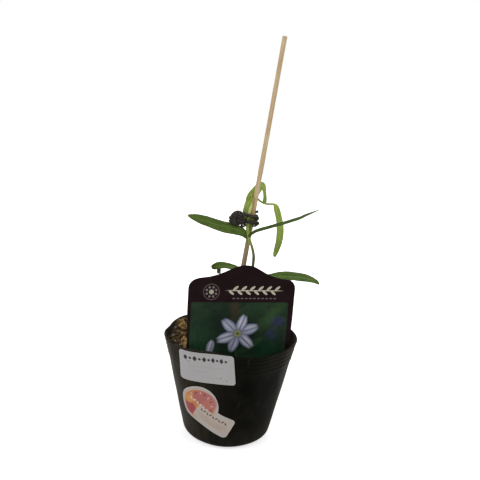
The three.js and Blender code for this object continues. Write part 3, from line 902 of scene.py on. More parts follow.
# The midrib from foot to tip, half widths by how far along, which way the upper side faces
# at foot and tip, and where it turns over. fold lifts the sides, curl turns the margins,
# wave ruffles them, tone goes from full-grown to fresh.
leaves = {
    "leaf_lower_left": {
        "rib": ((11.2, -4.4, 110.4), (6.4, -4, 113.8), (1.2, -3.2, 116.3), (-4.5, -1.8, 117.3),
                (-9.4, -0.4, 117.3), (-12.6, 0.4, 116.5), (-14.5, 1, 115.4), (-13.2, 1.6, 114.8),
                (-11.6, 2, 114.8), (-10.6, 2.3, 114), (-10.5, 2.4, 112.5), (-10.4, 2.5, 110.7)),
        "widths": ((0, 0.6), (0.12, 0.7), (0.22, 1.7), (0.34, 2.5), (0.5, 2.75), (0.62, 2.6), (0.7, 2.3),
                   (0.76, 1.9), (0.81, 1.6), (0.86, 1.35), (0.96, 1.4), (0.99, 1.25), (1, 0.8)),
        "faces": ((0, -0.5, 0.85), (-0.1, -0.9, -0.4)), "turnAt": 0.66, "fold": 0.18, "curl": 0.1,
        "wave": 0.3, "stalk": 0.6, "tone": 0.1,
    },
    "leaf_lower_right": {
        "rib": ((12.7, -3.8, 109.8), (18, -2, 110.6), (23.9, 0, 111.3), (32.5, 3, 111.6),
                (41.7, 6, 111.1), (50.4, 9, 109.6), (56.3, 11, 107.6), (59.8, 12, 105.3)),
        "widths": ((0, 0.6), (0.1, 0.7), (0.22, 2.1), (0.36, 3.5), (0.5, 4.4), (0.66, 4.45), (0.8, 4.05),
                   (0.9, 3.05), (0.97, 1.7), (1, 0.2)),
        "faces": ((0, -0.57, 0.82), (0.1, -0.5, 0.86)), "turnAt": 0.5, "fold": 0.12, "curl": 0.06,
        "wave": 0.3, "stalk": 0.6, "tone": 0.0,
    },
    "leaf_middle_left": {
        "rib": ((7.2, -4, 137.2), (4.1, -5.6, 141.2), (-0.9, -7.4, 143.25), (-7, -9.2, 144.35),
                (-13, -10.7, 146), (-17.3, -11.4, 147.4), (-22.1, -12, 148.7), (-28.1, -12.6, 150.45),
                (-32.2, -13, 151.45)),
        "widths": ((0, 0.8), (0.075, 2.4), (0.16, 3.7), (0.24, 4.3), (0.38, 4.4), (0.53, 4.5),
                   (0.65, 4.25), (0.76, 3.8), (0.84, 3.3), (0.91, 2.5), (0.98, 1.15), (1, 0.2)),
        "faces": ((0.1, -0.75, 0.65), (0.2, -0.7, 0.7)), "turnAt": 0.5, "fold": 0.12, "curl": 0.07,
        "wave": 0.3, "stalk": 0.7, "tone": 0.0,
    },
    "leaf_middle_right": {
        "rib": ((8.5, -4.3, 138.1), (10.1, -5.1, 140.1), (12.9, -6.3, 142.15), (17.8, -8, 144.2),
                (22.9, -9, 146.2), (29.8, -10, 148.7), (34.8, -11, 150.8), (39.8, -12, 153),
                (44.8, -12, 155.9), (51.8, -12, 159.8)),
        "widths": ((0, 1.7), (0.07, 2.7), (0.15, 3.8), (0.26, 4.3), (0.42, 4.3), (0.6, 4.3), (0.72, 3.7),
                   (0.82, 2.8), (0.91, 1.8), (0.97, 1), (1, 0.3)),
        "faces": ((-0.25, 0.137, 0.99), (-0.32, 0.137, 0.95)), "turnAt": 0.5, "fold": 0.5, "curl": 0.05,
        "wave": 0.25, "stalk": 0.7, "tone": 0.0,
    },
    "leaf_upper_left": {
        "rib": ((5.4, -0.8, 149.6), (4.9, -0.5, 153.2), (5.3, -0.5, 155.7), (6.1, 0.5, 158.4),
                (7, 1.5, 161.1), (8.1, 2.8, 163.4), (9.4, 3.8, 165.4), (11.1, 5, 167.9), (12.7, 6, 170.2),
                (14.2, 6.6, 171.8), (15.3, 6.9, 171.7), (16.2, 6.9, 170.1), (16.7, 6.8, 168.2),
                (17.2, 6.8, 165.6), (17.4, 6.7, 162.9), (17.1, 6.5, 159.9)),
        "widths": ((0, 1.3), (0.08, 1.85), (0.22, 2.3), (0.3, 2.6), (0.37, 3.15), (0.44, 3.5), (0.52, 3.2),
                   (0.6, 2.85), (0.67, 2.6), (0.75, 1.85), (0.81, 1.75), (0.95, 2.05), (0.985, 2.1),
                   (1, 1.4)),
        "faces": ((-0.3, -0.95, 0.2), (0.75, -0.62, 0.2)), "turnAt": 0.66, "fold": 0.14, "curl": 0.06,
        "wave": 0.15, "stalk": 0.6, "tone": 0.85,
    },
    "leaf_upper_right": {
        "rib": ((8, -1.1, 165.4), (8.2, 1.1, 165.8), (9.6, 2.6, 165.1), (12.6, 2.9, 163), (15.2, 3.4, 161.1),
                (18, 3.9, 160), (21.4, 4, 160), (23.6, 4, 159.8), (25, 4, 158.4), (26.2, 3.7, 155.6),
                (27.6, 3.4, 151), (28.7, 3.2, 146.1), (29.1, 3, 139.8), (28.6, 3, 134.1), (27.5, 3, 129.4),
                (26.3, 3, 124.5)),
        "widths": ((0, 0.7), (0.2, 0.9), (0.32, 0.95), (0.37, 1.7), (0.44, 2.1), (0.53, 2.2), (0.62, 2.45),
                   (0.68, 2.5), (0.75, 2.45), (0.825, 2.25), (0.88, 2.05), (0.94, 1.75), (0.985, 1.2),
                   (1, 0.7)),
        "faces": ((0, 0.1, 1), (-0.3, -0.95, 0.1)), "turnAt": 0.38, "fold": 0.14, "curl": 0.05,
        "wave": 0.12, "stalk": 0.8, "tone": 1.0,
    },
}
leafCut = {
    "long": 96, "wide": 16, "pathSteps": 400, "thin": 0.3, "thick": 1.25, "ribThick": 0.3, "ribReach": 0.09,
    # widths against the stalk's between which it opens into a blade, and how far along it can
    "stalkEnds": (1.05, 2.2), "stalkUpTo": (0.5, 0.7), "turnReach": 0.2, "bladeFrom": (0.8, 2),
    "ripple": 0.12, "groove": 0.14, "grooveReach": 0.1, "notch": 0.04,
}
leafSkin = {
    # full-grown, fresh and lower side, for the dark and the light of the mottle
    "dark": ((68, 93, 27), (144, 178, 66), (150, 156, 120)),
    "light": ((97, 122, 48), (188, 210, 108), (170, 176, 140)),
    "lowerShare": 0.15, "tip": (120, 100, 60),
    # where the side veins run across half a blade, and how wide they are
    "veins": ((0.36, 0.03), (0.7, 0.025)), "net": (34.0, 9.0, 1),
}


def leafHalfWidth(leaf, part):
    for (low, lowHalf), (high, highHalf) in zip(leaf["widths"], leaf["widths"][1:]):
        if part <= high:
            return blend(lowHalf, highHalf, (part - low) / (high - low))
    return leaf["widths"][-1][1]


def leafThickness(leaf, part, across):
    # a nearly round stalk that goes over into a thin blade with a thicker midrib
    fromWidth, toWidth = leafCut["stalkEnds"]
    rounded = leafCut["thick"] * sqrt(max(1 - across * across, 0.02))
    midrib = leafCut["ribThick"] * bell(across, 0, leafCut["ribReach"]) * (1 - part)
    flat = leafCut["thin"] * (1 - 0.5 * across ** 4) + midrib
    stalk = 1 - smoothStep(leafHalfWidth(leaf, part), leaf["stalk"] * fromWidth, leaf["stalk"] * toWidth)
    return blend(flat, rounded, stalk * (1 - smoothStep(part, *leafCut["stalkUpTo"])))


def makeLeaf(leaf, seed):
    # a flat grid, laid along its rib: x runs from foot to tip, y across the blade
    bpy.ops.mesh.primitive_grid_add(x_subdivisions=leafCut["long"], y_subdivisions=leafCut["wide"],
                                    size=2 * mm, calc_uvs=True)
    piece = bpy.context.object
    steps, turnReach = leafCut["pathSteps"], leafCut["turnReach"]
    path = smoothPath(leaf["rib"], steps)
    foot, tip = [Vector(face) for face in leaf["faces"]]
    thick = piece.vertex_groups.new(name="thick")
    for vertex in piece.data.vertices:
        flat = vertex.co / mm
        share = leafThickness(leaf, (flat.x + 1) / 2, flat.y) / (leafCut["thick"] + leafCut["ribThick"])
        thick.add([vertex.index], share, "REPLACE")

    def lay(point):
        part = (point.x + 1) / 2
        across = point.y
        k = min(max(round(part * steps), 2), steps - 2)
        tangent = (path[k + 2] - path[k - 2]).normalized()
        turn = smoothStep(part, leaf["turnAt"] - turnReach, leaf["turnAt"] + turnReach)
        face = foot.lerp(tip, turn)
        side = face.cross(tangent).normalized()
        face = tangent.cross(side).normalized()
        half = leafHalfWidth(leaf, part)
        blade = smoothStep(half, *leafCut["bladeFrom"])
        lift = leaf["fold"] * half * abs(across) - leaf["curl"] * half * across ** 4
        ruffle = noise.noise(Vector((part * 7, seed * 5 + across * 0.6, 0)))
        ripple = noise.noise(Vector((part * 22, seed * 5 + across * 1.5, 4)))
        lift += (leaf["wave"] * ruffle + leafCut["ripple"] * ripple) * abs(across) * blade
        groove = leafCut["groove"] * bell(across, 0, leafCut["grooveReach"]) * blade
        uneven = noise.noise(Vector((part * 12, seed * 9, copysign(3, across))))
        notch = 1 + leafCut["notch"] * uneven
        return path[round(part * steps)] + side * across * half * notch + face * (lift - groove)

    moveVertices(piece, lay)
    body = piece.modifiers.new("body", "SOLIDIFY")
    body.thickness = (leafCut["thick"] + leafCut["ribThick"]) * mm
    body.vertex_group = "thick"
    body.offset = 0
    body.material_offset = 1
    body.material_offset_rim = 1
    finer = piece.modifiers.new("finer", "SUBSURF")
    finer.levels = finer.render_levels = 1
    applyModifiers(piece)
    smoothShade(piece, 80)
    return piece


def leafColour(key, tone, under):
    grown, fresh, lower = leafSkin[key]
    colour = [blend(a, b, tone) for a, b in zip(grown, fresh)]
    if under:
        colour = [blend(a, b, leafSkin["lowerShare"]) for a, b in zip(colour, lower)]
    return colour


def leafMaterial(name, tone, under):
    # tone goes from a full-grown leaf, 0, to a fresh one, 1; under is the paler lower side
    material, tree, shader, place, mask, height = grainyMaterial(name, 900.0)
    uv = addNode(tree, "ShaderNodeUVMap").outputs[0]
    axes = addNode(tree, "ShaderNodeSeparateXYZ", vector=uv)
    centred = mathNode(tree, "SUBTRACT", axes.outputs[1], 0.5)
    off = mathNode(tree, "ABSOLUTE", mathNode(tree, "MULTIPLY", centred, 2.0))
    dark, light = leafColour("dark", tone, under), leafColour("light", tone, under)
    streaks = rampNode(tree, streakNode(tree, uv, (3.0, 26.0, 1)), 0, 1, 0.35, 0.65)
    ground = mixColour(tree, streaks, dark, light)
    patches = rampNode(tree, noiseNode(tree, place, 130.0, 3.0), 0, 0.5, 0.4, 0.7)
    ground = mixColour(tree, patches, ground, darker(dark, 0.82))
    veins = rampNode(tree, off, 0.8, 0, 0.015, 0.075)
    for at, wide in leafSkin["veins"]:
        apart = mathNode(tree, "ABSOLUTE", mathNode(tree, "SUBTRACT", off, at))
        veins = mathNode(tree, "MAXIMUM", veins, rampNode(tree, apart, 0.4, 0, wide * 0.3, wide))
    spread = addNode(tree, "ShaderNodeMapping", vector=uv, scale=leafSkin["net"]).outputs[0]
    net = addNode(tree, "ShaderNodeTexVoronoi", {"feature": "DISTANCE_TO_EDGE"}, vector=spread, scale=1.0)
    netMask = rampNode(tree, net.outputs["Distance"], 1, 0, 0.0, 0.12)
    veins = mathNode(tree, "MAXIMUM", veins, mathNode(tree, "MULTIPLY", netMask, 0.22))
    ground = mixColour(tree, veins, ground, [min(c * 1.28 + 12, 255) for c in light])
    margin = rampNode(tree, off, 0, 0.35, 0.86, 1.0)
    ground = mixColour(tree, margin, ground, darker(dark, 0.8))
    tipBrown = rampNode(tree, axes.outputs[0], 0, 0.35, 0.95, 1.0)
    ground = mixColour(tree, tipBrown, ground, leafSkin["tip"])
    high = mathNode(tree, "SUBTRACT", mathNode(tree, "MULTIPLY", height, 0.4), veins)
    setShader(tree, shader, ground, rampNode(tree, mask, 0.42, 0.58), 0.2,
              bumpNode(tree, high, 0.00018, 0.5))
    letLightIn(shader, 0.15, (0.0006, 0.001, 0.0003))
    return material


for i, (name, leaf) in enumerate(leaves.items()):
    tone = leaf["tone"]
    sides = [leafMaterial(name + "Top", tone, False), leafMaterial(name + "Under", tone, True)]
    slotName = "leaf_young" if tone > 0.5 else "leaf_mature"
    finishPiece(makeLeaf(leaf, i), sides, name + "_blade", slotName, name)
print("leaves made")


tie = {
    "radius": 0.72, "sides": 8, "steps": 2000, "endSwell": 0.3, "endReach": 0.005,
    # from its free end two and a half times round cane and stem, with a loop to the right
    # between the bands and a double one below them
    "collar": ((12.9, -1.5, 155.1), (12.1, -0.4, 154.7), (11.2, 0.9, 154), (9.5, 2.2, 153.7),
               (6, 1.8, 153.5),
               (4.3, -0.8, 153.5), (5.6, -3.9, 153.2), (8.7, -4.7, 152.7), (11.6, -3.6, 152.3),
               (12.9, -1, 152.2), (11.2, 1.8, 152.5), (8.7, 2.7, 152.8), (5.4, 1.4, 152.7),
               (4.5, -1.2, 152.6), (6, -4.2, 152.4), (8.8, -5, 151.9), (11.6, -4.2, 151.8),
               (13.1, -2.6, 151.6), (13.5, -1.7, 151), (13.4, -1.9, 150.2), (12.4, -3.2, 149.4),
               (10.2, -4.5, 148.9), (7.6, -4.9, 148.7), (5.2, -3.6, 148.9), (4.4, -0.8, 149.2),
               (5.6, 1.8, 149.4), (8.7, 2.6, 149.8), (11.4, 1.7, 150.3), (12.6, -0.8, 151.4),
               (12.4, -1.3, 150.5), (11.4, 1, 149.6), (9, 2.5, 149.2), (5.2, 1.5, 148.5), (4.4, -1.2, 148.2),
               (6.2, -4.2, 148), (8.8, -4.9, 147.9), (11.6, -3.9, 148), (13.5, -1.8, 148), (14, -2, 147.3),
               (13.1, -3.1, 146.6), (11.3, -3.9, 145.7), (10.2, -3.9, 146.3), (10.6, -3.4, 147.1),
               (12.2, -2.4, 147.2), (12.9, -1.2, 146.7), (11.5, 0.4, 146.6), (8.8, 2.2, 147),
               (4.8, 1, 146.8), (4, -1.8, 146.6), (5.3, -3.3, 146), (4.5, -4, 145.2), (2.8, -4.8, 145.4),
               (3.8, -4.9, 147.5), (2.8, -5.2, 147.2)),
    "coil": {"x": -0.7, "y": -6, "z": 150.4, "outer": 4.75, "narrow": 0.9, "inner": 0.35, "turns": 3.4,
             "layers": 3, "layerStep": 0.95, "enter": -50, "lean": 0.14, "cuts": 26, "loose": 0.4},
    # then the end is wrapped loosely round the coil and back to the collar
    "wrap": {"ring": 2.6, "reach": 1.7, "deep": 2, "laps": 13, "round": 1.15, "cuts": 14,
             "uneven": 0.03, "loose": 0.5},
    "endStub": ((2.9, -6.4, 152.9), (4.4, -5.8, 153.4), (6.4, -5.3, 153.1)),
}


def tiePath():
    points = [Vector(p) for p in tie["collar"]]
    coil, wrap = tie["coil"], tie["wrap"]
    turned = 0
    middle = Vector((coil["x"], coil["y"], coil["z"]))

    def onCoil(across, deep, up):
        return middle + Vector((across + coil["lean"] * up, deep, up))

    for layer in range(coil["layers"]):
        steps = round(coil["cuts"] * coil["turns"])
        for i in range(steps):
            part = i / steps if layer % 2 == 0 else 1 - i / steps
            loose = coil["loose"] * noise.noise(Vector((turned * 2.3, layer * 4, 1)))
            radius = blend(coil["outer"], coil["inner"], part) + loose
            angle = radians(coil["enter"]) - turned * 2 * pi
            deep = (coil["layers"] / 2 - 0.5 - layer) * coil["layerStep"] + loose
            points.append(onCoil(radius * cos(angle) * coil["narrow"], deep, radius * sin(angle)))
            turned += coil["turns"] / steps
    steps = wrap["cuts"] * wrap["laps"]
    for i in range(steps):
        part = i / steps + wrap["uneven"] * noise.noise(Vector((i / 17, 7, 3)))
        around = radians(coil["enter"]) - (turned + part * wrap["round"]) * 2 * pi
        lap = i / steps * wrap["laps"] * 2 * pi
        loose = 1 + wrap["loose"] * noise.noise(Vector((i / 11, 2, 6)))
        radius = min(wrap["ring"] + wrap["reach"] * cos(lap) * loose, coil["outer"] + 0.1)
        deep = -wrap["deep"] * sin(lap) * loose
        points.append(onCoil(radius * cos(around), deep, radius * sin(around)))
    return points + [Vector(p) for p in tie["endStub"]]


def tieRadius(part):
    return tie["radius"] * (1 + tie["endSwell"] * bell(part, 0, tie["endReach"]))


def tieFinish():
    material, tree, shader, place, mask, height = grainyMaterial("tieWire", 1800.0)
    ground = mixColour(tree, mask, (20, 18, 15), (74, 64, 56))
    soil = placeGroup(tree, dust, place=place, scale=220.0, amount=0.8)
    ground = mixColour(tree, soil.outputs["mask"], ground, (120, 104, 84))
    setShader(tree, shader, ground, rampNode(tree, mask, 0.45, 0.7), 0.5,
              bumpNode(tree, height, 0.0002, 0.5))
    return material


tiePiece = tubeAlong("tie", smoothPath(tiePath(), tie["steps"]), tieRadius, tie["sides"])
smoothShade(tiePiece, 60)
finishPiece(tiePiece, [tieFinish()], "tie_coil", "tie", "tie_wire")
print("tie made")


def flatSheet(name, outline, thickness, lattice):
    # a flat outline with an even thickness, cut by a lattice so that it can bend
    piece, curve, spline = curvePiece(name, "2D", [(x * mm, y * mm, 0) for x, y in outline])
    curve.fill_mode = "BOTH"
    spline.use_cyclic_u = True
    curve.extrude = thickness / 2 * mm
    piece = toMesh(piece)
    cleanMesh(piece)
    bpy.ops.object.mode_set(mode="EDIT")
    for axis in (0, 1):
        low = min(point[axis] for point in outline)
        high = max(point[axis] for point in outline)
        normal = (1, 0, 0) if axis == 0 else (0, 1, 0)
        at = low + lattice
        while at < high:
            bpy.ops.mesh.select_all(action="SELECT")
            bpy.ops.mesh.bisect(plane_co=(at * normal[0] * mm, at * normal[1] * mm, 0), plane_no=normal)
            at += lattice
    bpy.ops.object.mode_set(mode="OBJECT")
    piece.data.attributes.new("flat", "FLOAT_VECTOR", "POINT")
    piece.data.attributes.new("side", "FLOAT", "POINT")
    flat, side = piece.data.attributes["flat"], piece.data.attributes["side"]
    for i, vertex in enumerate(piece.data.vertices):
        flat.data[i].vector = (vertex.co.x / mm, vertex.co.y / mm, 0)
        side.data[i].value = 1 if vertex.co.z > 0 else 0
    return piece


def arc(x, y, radius, fromAngle, toAngle, steps):
    points = []
    for i in range(steps + 1):
        angle = radians(blend(fromAngle, toAngle, i / steps))
        points.append((x + radius * cos(angle), y + radius * sin(angle)))
    return points


def bezier(points, steps):
    # a curve from the first to the last of three or four points
    line = []
    for i in range(1, steps + 1):
        t = i / steps
        level = [Vector(p) for p in points]
        while len(level) > 1:
            level = [a.lerp(b, t) for a, b in zip(level, level[1:])]
        line.append(tuple(level[0]))
    return line


label = {
    "left": -28.75, "right": 40.9, "headFoot": 61, "shoulder": 108, "humpAt": 7.8, "humpTop": 123.1,
    "stakeAt": 6, "stakeHalf": 8, "stakeNeck": 52, "stakeTaper": 18, "stakeTip": 9, "thickness": 0.5,
    "yaw": 11.8, "origin": (0, -24, 0), "lattice": 4, "edge": 0.12,
    # how far the head bows forward, over what width and height
    "bow": 0.25, "bowFrom": -29, "bowWide": 70, "bowEnds": (60, 120),
    "picture": {"middle": (5.2, 78.8), "half": (31.8, 20), "square": 40.0, "edge": 0.008},
}


def labelOutline():
    left, right, foot, shoulder = label["left"], label["right"], label["headFoot"], label["shoulder"]
    stakeLeft, stakeRight = label["stakeAt"] - label["stakeHalf"], label["stakeAt"] + label["stakeHalf"]
    neck, taper, at, top = label["stakeNeck"], label["stakeTaper"], label["humpAt"], label["humpTop"]
    line = [(left, shoulder - 1), (left, foot + 31), (left + 0.9, foot + 5)]
    line += bezier([line[-1], (left + 1.2, foot), (left + 6, foot)], 6)
    line += bezier([line[-1], (stakeLeft - 1, foot - 0.6), (stakeLeft, neck)], 8)
    line += [(stakeLeft + 2, taper), (label["stakeAt"], label["stakeTip"]), (stakeRight - 2, taper)]
    line += [(stakeRight, neck)]
    line += bezier([line[-1], (stakeRight + 1, foot - 0.6), (right - 8, foot)], 8)
    line += bezier([line[-1], (right - 1.8, foot), (right - 1.2, foot + 6)], 6)
    line += [(right - 0.35, foot + 27), (right, shoulder)]
    line += bezier([line[-1], (right - 0.3, shoulder + 5.2), (right - 5.6, shoulder + 6)], 10)
    line += bezier([line[-1], (right - 22, shoulder + 7.6), (at + 8.9, top), (at, top)], 22)
    line += bezier([line[-1], (at - 8.8, top), (-6, shoulder + 8.45), (left + 10, shoulder + 7)], 22)
    line += bezier([line[-1], (left + 4, shoulder + 6.5), (left, shoulder + 4.6), (left, shoulder - 1)], 10)
    return line[:-1]


def makeLabel():
    piece = flatSheet("label", labelOutline(), label["thickness"], label["lattice"])
    yaw = radians(label["yaw"])
    right = Vector((cos(yaw), sin(yaw), 0))
    front = Vector((sin(yaw), -cos(yaw), 0))
    origin = Vector(label["origin"])

    def stand(point):
        part = (point.x - label["bowFrom"]) / label["bowWide"]
        bowed = label["bow"] * sin(part * pi) * smoothStep(point.y, *label["bowEnds"])
        return origin + right * point.x + front * (point.z + bowed) + Vector((0, 0, point.y))

    moveVertices(piece, stand)
    cleanMesh(piece)
    roundEdges(piece, label["edge"])
    smoothShade(piece, 30)
    return piece


# What is printed on the label: a row of small leaves as a plain border, a ring ornament,
# and an open flower with a bud on a blurred garden green.
printColours = {
    "maroon": (30, 14, 16), "maroonLight": (38, 19, 23), "cream": (214, 208, 186), "petal": (158, 162, 184),
    "petalLight": (222, 224, 236), "petalDark": (96, 102, 138),
}


def spot(x, y, wide, high, colour, edge, **more):
    # one printed shape from its middle and half its size; more can say turn, strength,
    # square and hollow
    return {"middle": (x, y), "half": (wide, high), "colour": colour, "edge": edge, **more}


def gardenShapes():
    # soft patches behind the flower, from dark to light
    shapes = []
    for x, y, wide, high, edge, turn, strength, colour in (
        (-12, 84, 9, 9, 0.8, 0, 0.9, (24, 40, 30)), (-20, 72, 9, 12, 0.8, 0, 0.7, (40, 76, 50)),
        (-22, 92, 6, 5, 0.8, 0, 0.6, (42, 66, 42)), (2, 92, 3, 10, 0.7, 4, 0.55, (84, 62, 46)),
        (26, 90, 14, 4, 0.7, 48, 0.75, (60, 90, 50)), (15, 94, 5, 8, 0.8, 0, 0.6, (40, 70, 42)),
        (31, 86, 4, 3, 0.8, 0, 0.75, (62, 60, 108)), (27, 77, 3, 4, 0.8, 0, 0.6, (56, 58, 100)),
        (33, 74, 3.5, 8, 0.8, 0, 0.8, (34, 52, 40)), (24, 68, 9, 5, 0.8, 0, 0.8, (26, 70, 46)),
    ):
        shapes.append(spot(x, y, wide, high, colour, edge, turn=turn, strength=strength))
    return shapes


def flowerShapes(x, y, petals, reach, turn):
    # an open flower seen from the front: broad petals, every second one further back
    shapes = [spot(x + 1, y - 1.5, reach, reach, (20, 34, 26), 0.5, strength=0.7)]
    for i in sorted(range(petals), key=lambda k: k % 2):
        angle = turn + i * 360 / petals + (5, -4, 3)[i % 3]
        along = radians(angle)
        long = reach * (1, 0.92, 0.97)[i % 3]
        front = i % 2
        for out, half, aside, colour, edge, strength in (
            (0.56, (0.46, 0.27), 0, "petalDark", 0.05, 0.95),
            (0.57, (0.42, 0.23), 0.02, "petal", 0.3, 0.95),
            (0.64, (0.3, 0.07), 0.1, "petalLight", 0.7, 0.55 + 0.35 * front),
            (0.62, (0.3, 0.06), -0.11, "petalLight", 0.7, 0.35 + 0.35 * front),
            (0.5, (0.36, 0.022), 0, "petalDark", 0.6, 0.8),
        ):
            atX = x + long * (out * cos(along) - aside * sin(along))
            atY = y + long * (out * sin(along) + aside * cos(along))
            shapes.append(spot(atX, atY, half[0] * long, half[1] * long, printColours[colour], edge,
                               turn=angle, strength=strength))
    for size, colour in ((0.2, (118, 122, 110)), (0.15, (168, 170, 122)), (0.08, (104, 112, 66))):
        shapes.append(spot(x, y, size * reach, size * reach, colour, 0.35))
    return shapes


def budAndStalks():
    stalks = [spot(4, 66, 0.7, 12, (62, 100, 60), 0.4, turn=12),
              spot(13, 70, 9, 2.6, (54, 92, 54), 0.2, turn=32)]
    bud = [spot(-13, 69, 2.4, 4.6, printColours["petal"], 0.15, turn=-14),
           spot(-13.4, 69.6, 0.5, 3.6, printColours["petalLight"], 0.5, turn=-14)]
    return stalks, bud


def borderShapes():
    # a sprig of small leaves along a thin line, with a row of dots below it
    cream = printColours["cream"]
    shapes = [spot(14, 106.6, 17, 0.32, cream, 0.2, square=6.0)]
    for i in range(12):
        side = 1 if i % 2 else -1
        shapes.append(spot(-1.2 + i * 2.75, 106.7 + side * 1.5, 2.05, 0.78, cream, 0.08, turn=side * 38))
    for i in range(11):
        shapes.append(spot(0.6 + i * 2.7, 101.4, 0.85, 0.36, (128, 116, 112), 0.3, square=4.0))
    return shapes


def ringShapes():
    x, y, reach = -14, 105.6, 3.2
    shapes = [spot(x, y, 5.3, 5.3, (104, 92, 92), 0.03, hollow=0.9),
              spot(x, y, 1.5, 1.5, (196, 192, 170), 0.1)]
    for i in range(8):
        along = radians(22.5 + i * 45)
        shapes.append(spot(x + reach * cos(along), y + reach * sin(along), 0.75, 0.75,
                           (140, 130, 124), 0.15))
    return shapes


def shakenPlace(tree, place, scale, amount):
    # bends the print a little, so that nothing in the picture has a ruled edge
    shake = addNode(tree, "ShaderNodeTexNoise", vector=place, scale=scale, detail=3.0)
    centred = vectorNode(tree, "SUBTRACT", shake.outputs["Color"], (0.5, 0.5, 0.5))
    scaled = addNode(tree, "ShaderNodeVectorMath", {"operation": "SCALE"}, vector=centred.outputs[0],
                     scale=amount)
    return vectorNode(tree, "ADD", place, scaled.outputs[0]).outputs[0]


def labelPrint():
    material, tree, shader = newMaterial("labelPrint")
    place = flatPlace(tree)
    mottle = noiseNode(tree, place, 0.09, 2.0)
    fineDots = noiseNode(tree, place, 2.2, 2.0)
    maroon = mixColour(tree, rampNode(tree, mottle, 0, 1, 0.3, 0.7), printColours["maroon"],
                       printColours["maroonLight"])
    garden = mixColour(tree, rampNode(tree, mottle, 0, 1, 0.35, 0.65), (34, 52, 38), (46, 68, 48))
    garden = printOn(tree, garden, shakenPlace(tree, place, 0.16, 5.0), gardenShapes())
    gloom = rampNode(tree, noiseNode(tree, place, 0.35, 4.0), 0, 0.35, 0.45, 0.7)
    garden = mixColour(tree, gloom, garden, (22, 34, 26))
    stalks, bud = budAndStalks()
    garden = printOn(tree, garden, shakenPlace(tree, place, 0.35, 0.9),
                     stalks + flowerShapes(4.5, 78, 6, 13.5, 14) + bud)
    ground = mixColour(tree, shapeMask(tree, place, label["picture"]), maroon, garden)
    ground = printOn(tree, ground, place, ringShapes() + borderShapes())
    # the back is plain
    side = addNode(tree, "ShaderNodeAttribute", {"attribute_name": "side"}).outputs["Fac"]
    ground = mixColour(tree, rampNode(tree, side, 0, 1, 0.45, 0.55), maroon, ground)
    ground = mixColour(tree, rampNode(tree, fineDots, 0, 0.22, 0.45, 0.75), ground, (48, 44, 42))
    setShader(tree, shader, ground, rampNode(tree, fineDots, 0.34, 0.5), 0.08,
              bumpNode(tree, mottle, 0.0006, 0.2))
    return material


finishPiece(makeLabel(), [labelPrint()], "label_printed", "label_print", "plant_label")
print("label made")


nameSticker = {"width": 38.1, "height": 21.2, "corner": 2, "azimuth": -20.2, "at": 58.2, "tilt": 1.5,
               "paper": (198, 195, 195)}
tabSticker = {"radius": 13.1, "tabEnd": 25.6, "tabTop": 2.55, "tabFoot": -12.6, "corner": 2.4,
              "azimuth": -28.6, "at": 31.8, "tilt": -30.4, "paper": (210, 202, 196)}
sticker = {"standOff": 0.5, "thickness": 0.16, "lattice": 1.2}


def wrapOnWall(piece, spec):
    # the wall is a cone, so the flat sheet is rolled round its apex
    height = spec["at"]
    slant = wallRadius(height) / sin(wallAngle)
    turn = radians(spec["tilt"])

    def wrap(point):
        right = point.x * cos(turn) - point.y * sin(turn)
        up = point.x * sin(turn) + point.y * cos(turn)
        fromApex = hypot(right, slant + up)
        around = spec["azimuth"] + degrees(atan2(right, slant + up) / sin(wallAngle))
        z = height + (fromApex - slant) * cos(wallAngle)
        radius = wallRadius(z) + wallPush(around, z) + sticker["standOff"] + point.z
        angle = radians(around)
        return Vector((radius * sin(angle), -radius * cos(angle), z))

    moveVertices(piece, wrap)
    cleanMesh(piece)
    smoothShade(piece, 40)


def nameOutline():
    x, y, r = nameSticker["width"] / 2, nameSticker["height"] / 2, nameSticker["corner"]
    line = []
    for i, (right, up) in enumerate(((1, 1), (-1, 1), (-1, -1), (1, -1))):
        line += arc(right * (x - r), up * (y - r), r, 90 * i, 90 * i + 90, 6)
    return line


def tabOutline():
    r, end, corner = [tabSticker[k] for k in ("radius", "tabEnd", "corner")]
    top, foot = tabSticker["tabTop"], tabSticker["tabFoot"]
    line = arc(0, 0, r, degrees(asin(top / r)), 270 - degrees(acos(-foot / r)), 60)
    line += arc(end - corner, corner + foot, corner, 270, 360, 8)
    line += arc(end - corner, top - corner, corner, 0, 90, 8)
    return line


def paperFinish(name, ground, shapes):
    material, tree, shader = newMaterial(name)
    place = flatPlace(tree)
    colour = printOn(tree, ground, place, shapes)
    fibres = noiseNode(tree, place, 1.1, 5.0, 0.7)
    colour = mixColour(tree, rampNode(tree, fibres, 0, 0.3, 0.45, 0.75), colour, darker(ground, 0.82))
    setShader(tree, shader, colour, rampNode(tree, fibres, 0.45, 0.6, 0.3, 0.7), 0.25,
              bumpNode(tree, fibres, 0.0001, 0.5))
    return material


def nameShapes():
    # a plain row of dark diamonds and dots, and faint marks below
    shapes = []
    for i in range(10):
        wide, high, square = (0.85, 0.85, 2.0) if i % 2 else (1.4, 1.9, 1.15)
        shapes.append(spot(-14.4 + i * 3.1, 6, wide, high, (50, 48, 50), 0.06, square=square))
    for row, (start, count) in enumerate(((-11, 11), (-8, 4), (-3, 6))):
        for i in range(count):
            shapes.append(spot(start + i * 2.3, 0.6 - row * 3.6, 0.7, 0.22, (150, 148, 148), 0.4,
                               square=4.0, strength=0.5))
    for x, y in ((9.5, -6.2), (13.4, -7.8), (-12.5, 3.2)):
        shapes.append(spot(x, y, 0.45, 0.4, (112, 104, 98), 0.4, strength=0.8))
    return shapes


